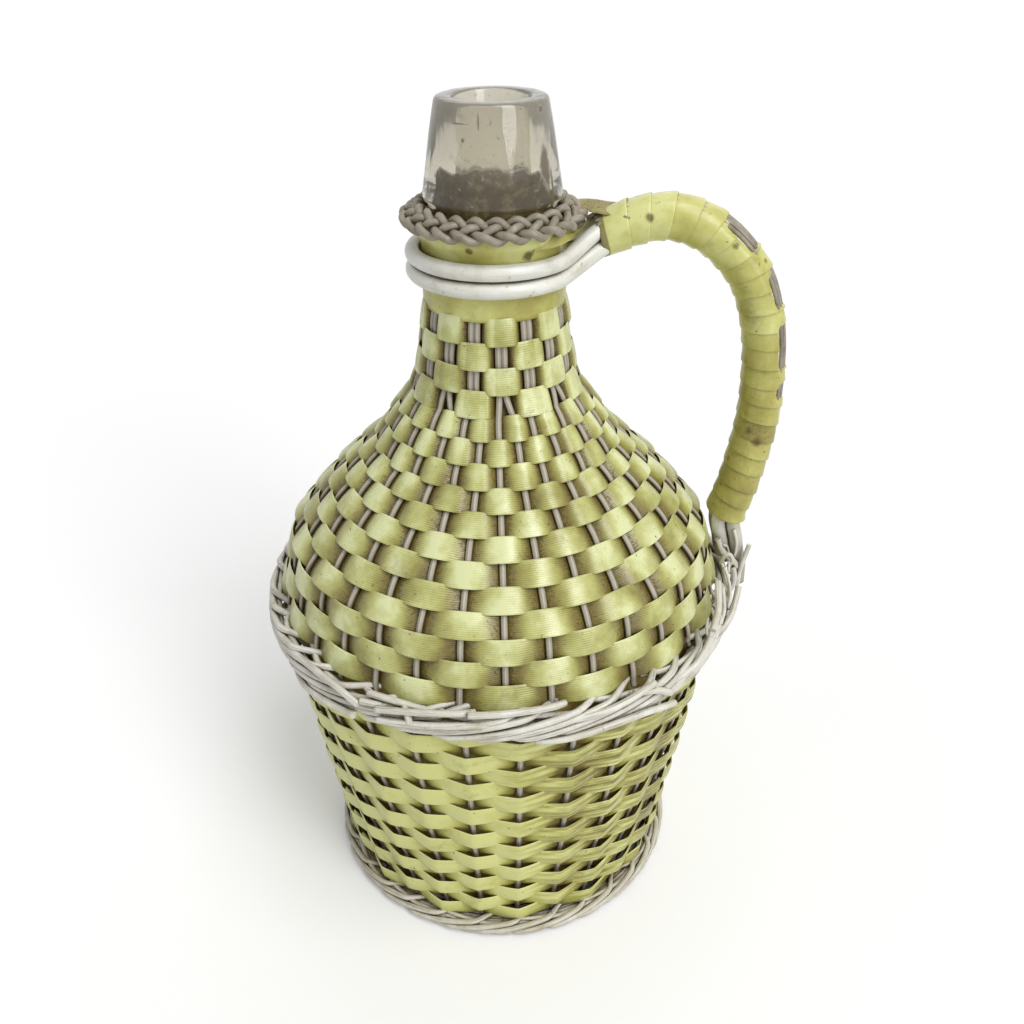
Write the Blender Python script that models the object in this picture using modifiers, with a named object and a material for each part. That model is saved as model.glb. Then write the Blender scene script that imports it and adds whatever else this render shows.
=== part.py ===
# A five litre demijohn: a glass bottle in a fitted jacket of woven strip, with a wrapped cord handle.
# The bottle stands on its axis at the origin, the floor is z = 0, and the handle is on the +X side.
# Lengths are in metres, angles in degrees, and an angle round the axis runs from the front (-Y) to +X.

import math

import bmesh
import bpy
from mathutils import Vector

# Clearances
GAP = 0.0003
ROW_GAP = 0.0005
PLAIT_GAP = 0.0004

# Glass bottle
MOUTH_HEIGHT = 0.3845
BORE_RADIUS = 0.0151
RIM_RADIUS = 0.0224
RIM_ROUNDING = 0.0014
FINISH_HEIGHT = 0.0387
FINISH_FOOT_RADIUS = 0.0284
FINISH_BEAD = 0.0020
NECK_TOP_RADIUS = 0.0262
NECK_WALL = 0.0040
BODY_WALL = 0.0035
PUNT_RADIUS = 0.0400
PUNT_RISE = 0.0070
GLASS_SIDES = 24

# Stakes and strips of the jacket
STAKE_WIDTH = 0.0024
STAKE_THICKNESS = 0.0016
STRIP_THICKNESS = 0.0006
UPPER_STAKES = 34
LOWER_STAKES = 28
UPPER_TURN = 1.8
LOWER_TURN = -7.8

# Neck, from the foot of the finish down to the first woven row
COLLAR_RADIUS = 0.0300
COLLAR_DROP = 0.0076
COLLAR_BINDING = 0.0040
COLLAR_FLARE = 0.0045
NECK_RADIUS = 0.0280
NECK_CORD_DROP = 0.0045
NECK_CORD_SPACING = 0.0072
NECK_ROWS_DROP = 0.0134

# Dome: the middle line of the stakes, from the neck down to the waist
WAIST_RADIUS = 0.1042
WAIST_HEIGHT = 0.1630
NECK_REACH = 0.0796
SHOULDER_REACH = 0.0643
UPPER_ROWS = 16
UPPER_TAIL = 0.0036
UPPER_BREAK_ROWS = (0, 3, 4, 7, 10, 13)
PAIRED_ROWS = 4
PAIR_SPACING = 0.0028

# Basket: the middle line of the lower stakes, from the waist down and under the bottle
BASKET_TOP_DROP = 0.0065
BASKET_TOP_INSET = 0.0002
FLARE_DROP = 0.0187
FLARE_INSET = 0.0022
BASKET_BELLY_RADIUS = 0.0936
BASKET_BELLY_HEIGHT = 0.0730
BASKET_FOOT_RADIUS = 0.0810
BASKET_FOOT_HEIGHT = 0.0080
HEEL_INSET = 0.0035
BASE_HEIGHT = 0.0030
FLARE_ROWS = 2
SIDE_ROWS = 14
SIDE_BREAK_ROWS = (0, 7, 14)
CROSSING_RADIUS = 0.0180
BASE_WEAVE_INNER = 0.0300
BASE_WEAVE_INSET = 0.0105
BASE_WEAVE_THICKNESS = 0.0014

# Cord borders
BORDER_CORD = 0.0034
BORDER_SIDES = 6
WAIST_CORDS = 4
WAIST_TWISTS = 5
WAIST_BORDER_LIFT = 0.0008
WAIST_DEPTH_SWING = 0.0028
WAIST_HEIGHT_SWING = 0.0064
BASE_CORDS = 3
BASE_TWISTS = 5
BASE_DEPTH_SWING = 0.0023
BASE_HEIGHT_SWING = 0.0031
FOOT_CORD = 0.0042
FOOT_WIDTH = 0.0054
FOOT_BEVEL = 0.0012
FOOT_INSET = 0.0010

# Neck bands, plait and cords
BAND_THICKNESS = 0.0008
BAND_FOOT = 0.0010
PLAIT_WIDTH = 0.0108
PLAIT_THICKNESS = 0.0056
PLAIT_TILT = 34.0
PLAIT_SHIFT = 0.0010
PLAIT_STITCHES = 30

# Handle
CORD_DIAMETER = 0.0066
CORD_SPACING = 0.0071
CORD_LEAVE = 0.0050
CORD_BEND = 0.0080
CORD_STEP = 0.0132
LOOP_POINTS = 24
CORD_MEASURE = 0.0020
WRAP_TURNS = 24
WRAP_POINTS = 8
WRAP_THICKNESS = 0.0006
WRAP_GAP = 0.0010
WRAP_START = 0.0062
WRAP_END = 0.0200
LACING_DIAMETER = 0.0024
LACING_STEP = 0.0100

# The middle of the handle: the share of the way down from the neck cords to the waist,
# and how far it stands out from the straight line between them
HANDLE_LINE = (
    (-0.030, 0.0123),
    (-0.068, 0.0310),
    (-0.073, 0.0474),
    (-0.023, 0.0609),
    (0.081, 0.0685),
    (0.211, 0.0670),
    (0.359, 0.0594),
    (0.507, 0.0485),
    (0.686, 0.0314),
    (0.803, 0.0185),
    (0.877, 0.0155),
    (0.923, 0.0136),
)
OUTER_TAIL = ((0.969, 0.0158), (1.031, 0.0118))

# Base colours, roughness and metallic value of each material
FINISHES = {
    "olive_glass": ((0.30, 0.29, 0.22), 0.06, 0.0),
    "yellow_strip": ((0.52, 0.52, 0.15), 0.38, 0.0),
    "grey_stake": ((0.40, 0.37, 0.33), 0.50, 0.0),
    "grey_plait": ((0.33, 0.30, 0.25), 0.55, 0.0),
    "white_cord": ((0.62, 0.60, 0.55), 0.42, 0.0),
}


def clear_scene():
    for item in list(bpy.data.objects):
        bpy.data.objects.remove(item, do_unlink=True)


def material_of(finish):
    found = bpy.data.materials.get(finish)
    if found:
        return found
    colour, roughness, metallic = FINISHES[finish]
    made = bpy.data.materials.new(finish)
    made.use_nodes = True
    shader = made.node_tree.nodes["Principled BSDF"]
    shader.inputs["Base Color"].default_value = (*colour, 1.0)
    shader.inputs["Roughness"].default_value = roughness
    shader.inputs["Metallic"].default_value = metallic
    made.diffuse_color = (*colour, 1.0)
    return made


def add_object(name, data, finish, collection):
    made = bpy.data.objects.new(name, data)
    made.data.materials.append(material_of(finish))
    collection.objects.link(made)
    return made


def add_mesh(name, bm, finish, collection):
    data = bpy.data.meshes.new(name)
    bm.to_mesh(data)
    bm.free()
    return add_object(name, data, finish, collection)


def round_axis(radius, height, angle):
    """A point at this radius and height, turned this many degrees from the front."""
    turn = math.radians(angle)
    return Vector((radius * math.sin(turn), -radius * math.cos(turn), height))


def bezier(points, t):
    while len(points) > 1:
        points = [a.lerp(b, t) for a, b in zip(points, points[1:])]
    return points[0]


def spline(points, steps=12):
    """A smooth line through all of the points, as a Catmull-Rom spline."""
    line = []
    for i in range(len(points) - 1):
        before = points[max(i - 1, 0)]
        start, end = points[i], points[i + 1]
        after = points[min(i + 2, len(points) - 1)]
        for k in range(steps):
            t = k / steps
            line.append(
                0.5
                * (
                    2 * start
                    + (end - before) * t
                    + (2 * before - 5 * start + 4 * end - after) * t * t
                    + (3 * start - before - 3 * end + after) * t**3
                )
            )
    return line + [points[-1].copy()]


def lengths_along(line):
    reached = [0.0]
    for a, b in zip(line, line[1:]):
        reached.append(reached[-1] + (b - a).length)
    return reached


def point_along(line, reached, distance):
    """The point at this distance along a line, and the direction of the line there."""
    i = 0
    while i < len(line) - 2 and reached[i + 1] < distance:
        i += 1
    run = reached[i + 1] - reached[i]
    t = (distance - reached[i]) / run
    return line[i].lerp(line[i + 1], t), (line[i + 1] - line[i]).normalized()


def evenly(line, step):
    """The line again, with points about this far apart."""
    reached = lengths_along(line)
    count = max(2, round(reached[-1] / step))
    return [point_along(line, reached, reached[-1] * i / count)[0] for i in range(count + 1)]


def outward(a, b):
    """The outward normal of a stretch of an outline that runs down the outside."""
    along = (b - a).normalized()
    return Vector((-along.y, along.x))


def offset_line(line, distance):
    """The outline moved outward, with mitred corners."""
    normals = [outward(a, b) for a, b in zip(line, line[1:])]
    moved = []
    for i, point in enumerate(line):
        first = normals[max(i - 1, 0)]
        second = normals[min(i, len(normals) - 1)]
        mitre = (first + second) / (1 + first.dot(second))
        moved.append(point + mitre * distance)
    return moved


def dome_outline():
    """The stakes' middle line, collar to waist: its corners, their rows, and the run of a row."""
    collar = MOUTH_HEIGHT - FINISH_HEIGHT - COLLAR_DROP
    top = [
        Vector((COLLAR_RADIUS, collar)),
        Vector((COLLAR_RADIUS, collar - COLLAR_BINDING)),
        Vector((NECK_RADIUS, collar - COLLAR_BINDING - COLLAR_FLARE)),
    ]
    start = top[2] - Vector((0, NECK_CORD_DROP + NECK_CORD_SPACING + NECK_ROWS_DROP))
    end = Vector((WAIST_RADIUS, WAIST_HEIGHT))
    handles = [
        start,
        start - Vector((0, NECK_REACH)),
        end + Vector((0, SHOULDER_REACH)),
        end,
    ]
    curve = [bezier(handles, i / 200) for i in range(201)]
    reached = lengths_along(curve)
    pitch = (reached[-1] - UPPER_TAIL) / UPPER_ROWS
    breaks = [*UPPER_BREAK_ROWS, UPPER_ROWS + UPPER_TAIL / pitch]
    corners = [point_along(curve, reached, pitch * row)[0] for row in breaks]
    return top, corners, breaks, pitch


def basket_outline():
    """The lower stakes' middle line: flare, side and base, and the run of one row of the side."""
    rim = Vector((WAIST_RADIUS - BASKET_TOP_INSET, WAIST_HEIGHT - BASKET_TOP_DROP))
    flare = [rim, rim - Vector((FLARE_INSET, FLARE_DROP))]
    handles = [
        flare[1],
        Vector((BASKET_BELLY_RADIUS, BASKET_BELLY_HEIGHT)),
        Vector((BASKET_FOOT_RADIUS, BASKET_FOOT_HEIGHT)),
    ]
    curve = [bezier(handles, i / 100) for i in range(101)]
    reached = lengths_along(curve)
    pitch = reached[-1] / SIDE_ROWS
    side = [point_along(curve, reached, pitch * row)[0] for row in SIDE_BREAK_ROWS]
    heel = Vector((BASKET_FOOT_RADIUS - HEEL_INSET, BASE_HEIGHT))
    base = [heel, Vector((CROSSING_RADIUS, BASE_HEIGHT))]
    return flare, side, base


def wave_at(spacing):
    """How far a strip swings from the stakes' middle to clear each stake, with its bends at the stakes."""
    clear = STAKE_THICKNESS / 2 + GAP + STRIP_THICKNESS / 2
    return clear / (1 - STAKE_WIDTH / spacing)


def band(name, columns, place, collection):
    """A closed strip: an open ring of columns, put in place point by point and given its thickness."""
    bm = bmesh.new()
    bmesh.ops.create_cone(bm, cap_ends=False, segments=columns, radius1=1, radius2=1, depth=2)
    for corner in bm.verts:
        turn = math.atan2(corner.co.x, corner.co.y) / math.tau
        corner.co = place(round(turn * columns) % columns, corner.co.z < 0)
    made = add_mesh(name, bm, "yellow_strip", collection)
    solid = made.modifiers.new("thickness", "SOLIDIFY")
    solid.thickness = STRIP_THICKNESS
    solid.offset = 0


def weave_row(name, ends, span, stations, wave, collection):
    """One row of strip. stations holds (angle, over) pairs, over being 1 outside the stakes, -1 inside."""
    top, bottom = ends
    normal = outward(top, bottom)

    def place(column, is_lower):
        angle, over = stations[column]
        point = top.lerp(bottom, span[1] if is_lower else span[0]) + normal * wave * over
        return round_axis(point.x, point.y, angle)

    band(name, len(stations), place, collection)


def row_span(row, first_break, last_break, pitch):
    """Where a row's edges lie along the straight stretch between two breaks."""
    rows = last_break - first_break
    margin = ROW_GAP / 2 / pitch
    return ((row - first_break + margin) / rows, (row + 1 - first_break - margin) / rows)


def stake_angle(stake, paired, radius):
    """The angle of one upper stake: evenly spread over the dome, drawn together in pairs at the neck."""
    even = UPPER_TURN + stake * 360 / UPPER_STAKES
    if not paired:
        return even
    pair = stake // 2
    middle = UPPER_TURN + (2 * pair + 0.5) * 360 / UPPER_STAKES
    side = 1 if stake % 2 else -1
    return middle + side * math.degrees(PAIR_SPACING / 2 / radius)


def comb(name, levels, closed_levels, cap, collection):
    """Stakes joined by a ring: levels holds the points of every stake's two edges, level by level."""
    bm = bmesh.new()
    grid = [[bm.verts.new(point) for point in level] for level in levels]
    count = len(levels[0])
    for i, (upper, lower) in enumerate(zip(grid, grid[1:])):
        for k in range(0, count, 1 if i < closed_levels else 2):
            after = (k + 1) % count
            bm.faces.new((upper[k], lower[k], lower[after], upper[after]))
    if cap:
        bm.faces.new(grid[0])
    bmesh.ops.recalc_face_normals(bm, faces=bm.faces)
    made = add_mesh(name, bm, "grey_stake", collection)
    solid = made.modifiers.new("thickness", "SOLIDIFY")
    solid.thickness = STAKE_THICKNESS
    solid.offset = 0


def stake_edges(point, angles):
    """The two edges of every stake at one point of the outline."""
    half = math.degrees(STAKE_WIDTH / 2 / point.x)
    edges = []
    for angle in angles:
        edges += [round_axis(point.x, point.y, angle - half), round_axis(point.x, point.y, angle + half)]
    return edges


def turned(name, profile, sides, closed, finish, collection):
    """A profile turned once round the axis. It runs down its outer side, and a closed one makes a ring."""
    bm = bmesh.new()
    points = [bm.verts.new((point.x, 0, point.y)) for point in profile]
    for a, b in zip(points, points[1:]):
        bm.edges.new((a, b))
    if closed:
        bm.edges.new((points[-1], points[0]))
    made = add_mesh(name, bm, finish, collection)
    screw = made.modifiers.new("turn", "SCREW")
    screw.steps = sides
    screw.render_steps = sides
    screw.use_merge_vertices = True
    screw.merge_threshold = 0.00001
    screw.use_smooth_shade = True


def tube(name, points, diameter, resolution, cyclic, finish, collection):
    data = bpy.data.curves.new(name, "CURVE")
    data.dimensions = "3D"
    data.bevel_depth = diameter / 2
    data.bevel_resolution = resolution
    data.use_fill_caps = not cyclic
    run = data.splines.new("POLY")
    run.points.add(len(points) - 1)
    for spot, point in zip(run.points, points):
        spot.co = (*point, 1.0)
    run.use_cyclic_u = cyclic
    add_object(name, data, finish, collection)


def make_bottle(neck_start, corners, basket, clearance, collection):
    flare, side, base = basket
    body = offset_line([*corners, *flare, *side[1:], *base], -clearance)[:-1]
    finish_foot = MOUTH_HEIGHT - FINISH_HEIGHT
    outer = [
        Vector((BORE_RADIUS + RIM_ROUNDING, MOUTH_HEIGHT)),
        Vector((RIM_RADIUS - RIM_ROUNDING, MOUTH_HEIGHT)),
        Vector((RIM_RADIUS, MOUTH_HEIGHT - RIM_ROUNDING)),
        Vector((FINISH_FOOT_RADIUS, finish_foot + FINISH_BEAD)),
        Vector((FINISH_FOOT_RADIUS - FINISH_BEAD / 2, finish_foot)),
        Vector((NECK_TOP_RADIUS, finish_foot - FINISH_BEAD)),
        Vector((neck_start.x - clearance, neck_start.y)),
        *body,
        Vector((PUNT_RADIUS, BASE_HEIGHT + clearance)),
        Vector((0, BASE_HEIGHT + clearance + PUNT_RISE)),
    ]
    shoulder = body[1:]
    inside = offset_line([*shoulder, Vector((PUNT_RADIUS, shoulder[-1].y))], -BODY_WALL)[:-1]
    inner = [
        Vector((BORE_RADIUS, MOUTH_HEIGHT - RIM_ROUNDING)),
        Vector((BORE_RADIUS, finish_foot)),
        Vector((body[0].x - NECK_WALL, neck_start.y)),
        Vector((body[0].x - NECK_WALL, body[0].y)),
        *inside,
        Vector((PUNT_RADIUS, BASE_HEIGHT + clearance + BODY_WALL)),
        Vector((0, BASE_HEIGHT + clearance + PUNT_RISE + BODY_WALL)),
    ]
    turned("glass_bottle", inner[::-1] + outer, GLASS_SIDES, False, "olive_glass", collection)


def make_dome(collection):
    """The upper stakes and the rows woven over them. It gives the outline and the weave's room and face."""
    top, corners, breaks, pitch = dome_outline()
    levels = []
    for point in (top[0], top[1], top[2], *corners[:2]):
        angles = [stake_angle(k, True, point.x) for k in range(UPPER_STAKES)]
        levels.append(stake_edges(point, angles))
    for point in corners[2:]:
        angles = [stake_angle(k, False, point.x) for k in range(UPPER_STAKES)]
        levels.append(stake_edges(point, angles))
    comb("upper_stakes", levels, 1, False, collection)

    widest = 0.0
    for row in range(UPPER_ROWS):
        part = max(i for i, first in enumerate(UPPER_BREAK_ROWS) if first <= row)
        first, last = breaks[part], breaks[part + 1]
        ends = (corners[part], corners[part + 1])
        span = row_span(row, first, last, pitch)
        middle = ends[0].lerp(ends[1], sum(span) / 2)
        number = row + 1
        if number <= PAIRED_ROWS:
            stations = []
            for pair in range(UPPER_STAKES // 2):
                over = 1 if (pair + number) % 2 else -1
                for side, stake in ((-1, 2 * pair), (1, 2 * pair + 1)):
                    spread = span[1] if first == PAIRED_ROWS - 1 else 0
                    drawn = stake_angle(stake, True, middle.x)
                    even = stake_angle(stake, False, middle.x)
                    pad = math.degrees((STAKE_WIDTH / 2 + GAP) / middle.x)
                    stations.append((drawn + (even - drawn) * spread + side * pad, over))
            wave = STAKE_THICKNESS / 2 + GAP + STRIP_THICKNESS / 2
        else:
            wave = wave_at(math.tau * middle.x / UPPER_STAKES)
            stations = [
                (stake_angle(k, False, middle.x), 1 if (k + number) % 2 == 0 else -1)
                for k in range(UPPER_STAKES)
            ]
        widest = max(widest, wave)
        name = f"upper_weave_{number:02d}"
        weave_row(name, ends, span, stations, wave, collection)
    last_face = max(middle.x + wave + STRIP_THICKNESS / 2, corners[-1].x + STAKE_THICKNESS / 2)
    return top, corners, widest + STRIP_THICKNESS / 2 + GAP, last_face


def make_basket(collection):
    """The lower stakes, which cross under the bottle, and the rows woven round them."""
    flare, side, base = basket_outline()
    line = [base[1], base[0], *side[::-1], flare[0]]
    angles = [LOWER_TURN + k * 360 / LOWER_STAKES for k in range(LOWER_STAKES)]
    comb("lower_stakes", [stake_edges(point, angles) for point in line], 0, True, collection)

    stretches = [(flare[0], side[0], 0, FLARE_ROWS)]
    for part, (first, last) in enumerate(zip(SIDE_BREAK_ROWS, SIDE_BREAK_ROWS[1:])):
        stretches.append((side[part], side[part + 1], FLARE_ROWS + first, FLARE_ROWS + last))
    number = 0
    for top, bottom, first, last in stretches:
        pitch = (bottom - top).length / (last - first)
        for row in range(first, last):
            span = row_span(row, first, last, pitch)
            middle = top.lerp(bottom, sum(span) / 2)
            wave = wave_at(math.tau * middle.x / LOWER_STAKES)
            number += 1
            stations = [(angle, 1 if (k + number) % 2 else -1) for k, angle in enumerate(angles)]
            name = f"lower_weave_{number:02d}"
            weave_row(name, (top, bottom), span, stations, wave, collection)
    return flare, side, base


def make_base(heel, collection):
    """The flat weave laid on the crossed stakes, and the close binding under their crossing."""
    seat = BASE_HEIGHT + STAKE_THICKNESS / 2 + GAP
    outer = heel.x - BASE_WEAVE_INSET
    ring = [
        Vector((outer, seat + BASE_WEAVE_THICKNESS)),
        Vector((outer, seat)),
        Vector((BASE_WEAVE_INNER, seat)),
        Vector((BASE_WEAVE_INNER, seat + BASE_WEAVE_THICKNESS)),
    ]
    turned("base_weave", ring, GLASS_SIDES, True, "yellow_strip", collection)
    underside = BASE_HEIGHT - STAKE_THICKNESS / 2 - GAP
    bm = bmesh.new()
    bmesh.ops.create_cone(
        bm,
        cap_ends=True,
        segments=GLASS_SIDES,
        radius1=CROSSING_RADIUS,
        radius2=CROSSING_RADIUS,
        depth=underside,
    )
    binding = add_mesh("base_binding", bm, "grey_stake", collection)
    binding.location.z = underside / 2


def border(name, cords, twists, radius, height, swings, collection):
    """Cords laid round each other into a border: each one circles the border's middle as it goes round."""
    count = twists * BORDER_SIDES
    radius = radius / math.cos(math.pi / count)
    for cord in range(cords):
        points = []
        for i in range(count):
            lay = math.tau * (i / BORDER_SIDES + cord / cords)
            depth = swings[0] * math.cos(lay)
            rise = swings[1] * math.sin(lay)
            points.append(round_axis(radius + depth, height + rise, 360 * i / count))
        tube(f"{name}_{cord + 1}", points, BORDER_CORD, 0, True, "white_cord", collection)


def make_borders(dome_face, basket, collection):
    waist_radius = dome_face + GAP + WAIST_DEPTH_SWING + BORDER_CORD / 2
    swings = (WAIST_DEPTH_SWING, WAIST_HEIGHT_SWING)
    height = WAIST_HEIGHT + WAIST_BORDER_LIFT
    border("waist_cord", WAIST_CORDS, WAIST_TWISTS, waist_radius, height, swings, collection)

    flare, side, base = basket
    reach = BASE_DEPTH_SWING + BORDER_CORD / 2
    height = FOOT_CORD + GAP + BASE_HEIGHT_SWING + BORDER_CORD / 2
    stake = side[-1].lerp(side[-2], (height - side[-1].y) / (side[-2].y - side[-1].y))
    face = stake.x + wave_at(math.tau * stake.x / LOWER_STAKES) + STRIP_THICKNESS / 2
    middle = face + GAP + reach
    swings = (BASE_DEPTH_SWING, BASE_HEIGHT_SWING)
    border("base_cord", BASE_CORDS, BASE_TWISTS, middle, height, swings, collection)

    outer = middle + reach - FOOT_INSET
    inner = outer - FOOT_WIDTH
    section = [
        Vector((outer - FOOT_BEVEL, FOOT_CORD)),
        Vector((outer, FOOT_CORD / 2)),
        Vector((outer - FOOT_BEVEL, 0)),
        Vector((inner + FOOT_BEVEL, 0)),
        Vector((inner, FOOT_CORD / 2)),
        Vector((inner + FOOT_BEVEL, FOOT_CORD)),
    ]
    turned("base_foot_cord", section, GLASS_SIDES, True, "white_cord", collection)


def make_neck(top, rows_top, cord_height, collection):
    """Two bands over the stakes at the neck, and the plaited collar on them. It gives the bands' face."""
    seat = STAKE_THICKNESS / 2 + GAP
    flats = math.cos(math.pi / GLASS_SIDES)
    upper, bend, narrow = (Vector(((point.x + seat) / flats, point.y)) for point in top)
    split = Vector((narrow.x, cord_height - NECK_CORD_SPACING / 2))
    foot = Vector((narrow.x, rows_top + BAND_FOOT))
    out = Vector((BAND_THICKNESS, 0))
    sections = {
        "neck_band_upper": (upper, bend, narrow, split + Vector((0, GAP))),
        "neck_band_lower": (split, foot),
    }
    for name, run in sections.items():
        profile = [point + out for point in run] + list(run[::-1])
        turned(name, profile, GLASS_SIDES, True, "yellow_strip", collection)

    tilt = math.radians(PLAIT_TILT)
    across = Vector((math.cos(tilt), -math.sin(tilt)))
    up = Vector((math.sin(tilt), math.cos(tilt)))
    underside = PLAIT_THICKNESS / 2 * math.sin(math.pi / 3)
    middle = upper + out + up * (underside + PLAIT_GAP) - across * PLAIT_SHIFT
    section = []
    for i in range(6):
        turn = math.tau * (0.5 - i) / 6
        half = across * math.cos(turn) * PLAIT_WIDTH / 2 + up * math.sin(turn) * PLAIT_THICKNESS / 2
        section.append(middle + half)
    turned("plait_collar", section, PLAIT_STITCHES, True, "grey_plait", collection)
    return narrow.x + BAND_THICKNESS


def handle_point(frame, distance, out, side):
    """A point beside the handle's middle line: out of the bend, and to one side of its plane."""
    line, reached = frame
    point, along = point_along(line, reached, distance)
    point = point + Vector((-along.y, along.x)) * out
    return Vector((point.x, side, point.y))


def handle_cord(name, out, tail, frame, loop_radius, loop_height, collection):
    """One cord of the handle: up from the waist, once round the neck, and back down beside itself."""
    length = frame[1][-1]
    side = CORD_SPACING / 2
    steps = round((length - CORD_LEAVE) / CORD_MEASURE)
    rise = [Vector((point.x, -side, point.y)) for point in reversed(tail)]
    for i in range(steps + 1):
        rise.append(handle_point(frame, length - (length - CORD_LEAVE) * i / steps, out, -side))

    start = rise[-1]
    bend = start + (start - rise[-2]).normalized() * CORD_BEND
    reach = math.hypot(bend.x, bend.y)
    touch = math.degrees(math.asin(loop_radius / reach) - math.asin(side / reach))
    leave = round_axis(loop_radius, loop_height, touch)
    tangent = round_axis(1, 0, touch + 90)
    turn = [start, bend, leave + tangent * CORD_BEND, leave]
    steps = round((leave - start).length / CORD_MEASURE)
    there = [bezier(turn, i / steps) for i in range(steps)]

    sweep = 2 * (90 + touch)
    steps = round(math.radians(sweep) * loop_radius / CORD_MEASURE)
    loop = [round_axis(loop_radius, loop_height, touch - sweep * i / steps) for i in range(steps + 1)]
    back = [Vector((point.x, -point.y, point.z)) for point in there[::-1]]
    climb = evenly(rise, CORD_STEP)[:-1]
    descent = [Vector((point.x, -point.y, point.z)) for point in climb[::-1]]
    path = climb + evenly([*there, *loop, *back], math.tau * loop_radius / LOOP_POINTS) + descent
    tube(name, path, CORD_DIAMETER, 1, False, "white_cord", collection)
    return evenly(path, CORD_MEASURE)


def make_wrap(frame, collection):
    """The strip wound round the handle's cords in one unbroken helix, and the lacing cord under it."""
    length = frame[1][-1]
    bundle = CORD_SPACING / 2 * math.sqrt(2) + CORD_DIAMETER / 2
    radius = (bundle + GAP + WRAP_THICKNESS / 2) / math.cos(math.pi / WRAP_POINTS)
    pitch = (length - WRAP_START - WRAP_END) / (WRAP_TURNS + 1)
    half = (pitch - WRAP_GAP) / 2
    columns = WRAP_TURNS * WRAP_POINTS

    def edge_point(column, edge):
        turns = column / WRAP_POINTS
        phase = math.tau * turns
        distance = WRAP_START + pitch * (turns + 0.5) + half * edge
        return handle_point(frame, distance, radius * math.cos(phase), radius * math.sin(phase))

    bm = bmesh.new()
    bmesh.ops.create_grid(bm, x_segments=columns, y_segments=1, size=1)
    for corner in bm.verts:
        column = round((corner.co.x + 1) / 2 * columns)
        corner.co = edge_point(column, 1 if corner.co.y > 0 else -1)
    made = add_mesh("handle_wrap", bm, "yellow_strip", collection)
    solid = made.modifiers.new("thickness", "SOLIDIFY")
    solid.thickness = WRAP_THICKNESS
    solid.offset = 0
    least = min(
        (edge_point(column, 1) - edge_point(column + WRAP_POINTS, -1)).length
        for column in range(columns - WRAP_POINTS)
    )
    print(f"handle_wrap: least gap between its turns {least * 1000:.2f} mm")

    groove = CORD_DIAMETER / 2 + LACING_DIAMETER / 2 + GAP
    lift = CORD_SPACING / 2 + math.sqrt(groove**2 - (CORD_SPACING / 2) ** 2)
    run = length - WRAP_START - WRAP_END
    steps = round(run / LACING_STEP)
    lace = [handle_point(frame, WRAP_START + run * i / steps, lift, 0) for i in range(steps + 1)]
    tube("handle_lacing", lace, LACING_DIAMETER, 0, False, "grey_stake", collection)


def least_self_gap(path, diameter):
    """The least gap between two runs of one tube, measured on the points of its path."""
    reached = lengths_along(path)
    return min(
        (a - b).length - diameter
        for i, a in enumerate(path)
        for j, b in enumerate(path[:i])
        if reached[i] - reached[j] > 4 * diameter
    )


def make_handle(loop_radius, loop_height, collection):
    neck = Vector((loop_radius, loop_height))
    waist = Vector((WAIST_RADIUS, WAIST_HEIGHT))

    def places(line):
        return [neck.lerp(waist, down) + Vector((out, 0)) for down, out in line]

    line = spline(places(HANDLE_LINE))
    frame = (line, lengths_along(line))
    half = CORD_SPACING / 2
    cords = (
        ("handle_cord_outer", half, places(OUTER_TAIL), loop_height),
        ("handle_cord_inner", -half, [], loop_height - NECK_CORD_SPACING),
    )
    for name, out, tail, height in cords:
        path = handle_cord(name, out, tail, frame, loop_radius, height, collection)
        gap = least_self_gap(path, CORD_DIAMETER)
        print(f"{name}: least gap to itself {gap * 1000:.2f} mm")
    make_wrap(frame, collection)


def main():
    clear_scene()
    collection = bpy.data.collections.new("demijohn")
    bpy.context.scene.collection.children.link(collection)
    top, corners, clearance, dome_face = make_dome(collection)
    basket = make_basket(collection)
    make_bottle(top[2], corners, basket, clearance, collection)
    make_base(basket[2][0], collection)
    make_borders(dome_face, basket, collection)
    cord_height = top[2].y - NECK_CORD_DROP
    band_face = make_neck(top, corners[0].y, cord_height, collection)
    make_handle(band_face + GAP + CORD_DIAMETER / 2, cord_height, collection)


main()
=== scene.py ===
from functools import partial
import math

import bmesh
import bpy
from mathutils import Matrix, Vector, noise


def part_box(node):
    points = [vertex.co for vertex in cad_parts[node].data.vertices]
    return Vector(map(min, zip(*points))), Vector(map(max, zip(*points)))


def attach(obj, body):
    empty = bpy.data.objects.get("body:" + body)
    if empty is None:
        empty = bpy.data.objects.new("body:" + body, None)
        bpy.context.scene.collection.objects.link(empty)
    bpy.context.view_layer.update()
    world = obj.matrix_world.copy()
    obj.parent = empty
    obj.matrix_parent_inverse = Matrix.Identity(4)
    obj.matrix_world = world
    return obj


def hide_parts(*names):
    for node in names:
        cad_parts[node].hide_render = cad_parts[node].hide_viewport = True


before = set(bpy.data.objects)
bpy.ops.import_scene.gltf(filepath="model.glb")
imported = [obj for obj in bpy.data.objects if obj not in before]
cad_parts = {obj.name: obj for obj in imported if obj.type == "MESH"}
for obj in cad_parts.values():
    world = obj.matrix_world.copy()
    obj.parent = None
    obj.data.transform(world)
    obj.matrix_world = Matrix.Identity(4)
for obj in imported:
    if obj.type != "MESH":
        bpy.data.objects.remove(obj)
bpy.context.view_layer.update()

# Looks of a five litre demijohn: a glass bottle in a jacket woven from plastic strip.
# Lengths are in metres. An angle round the bottle is in degrees, from the front (-Y) towards the handle (+X).
# In an outline a point is (radius, height).

mm = 0.001


# Small tools

def hexColour(code):
    channels = [int(code[i:i + 2], 16) / 255 for i in (1, 3, 5)]
    linear = [c / 12.92 if c <= 0.04045 else ((c + 0.055) / 1.055) ** 2.4 for c in channels]
    return (*linear, 1.0)


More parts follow.
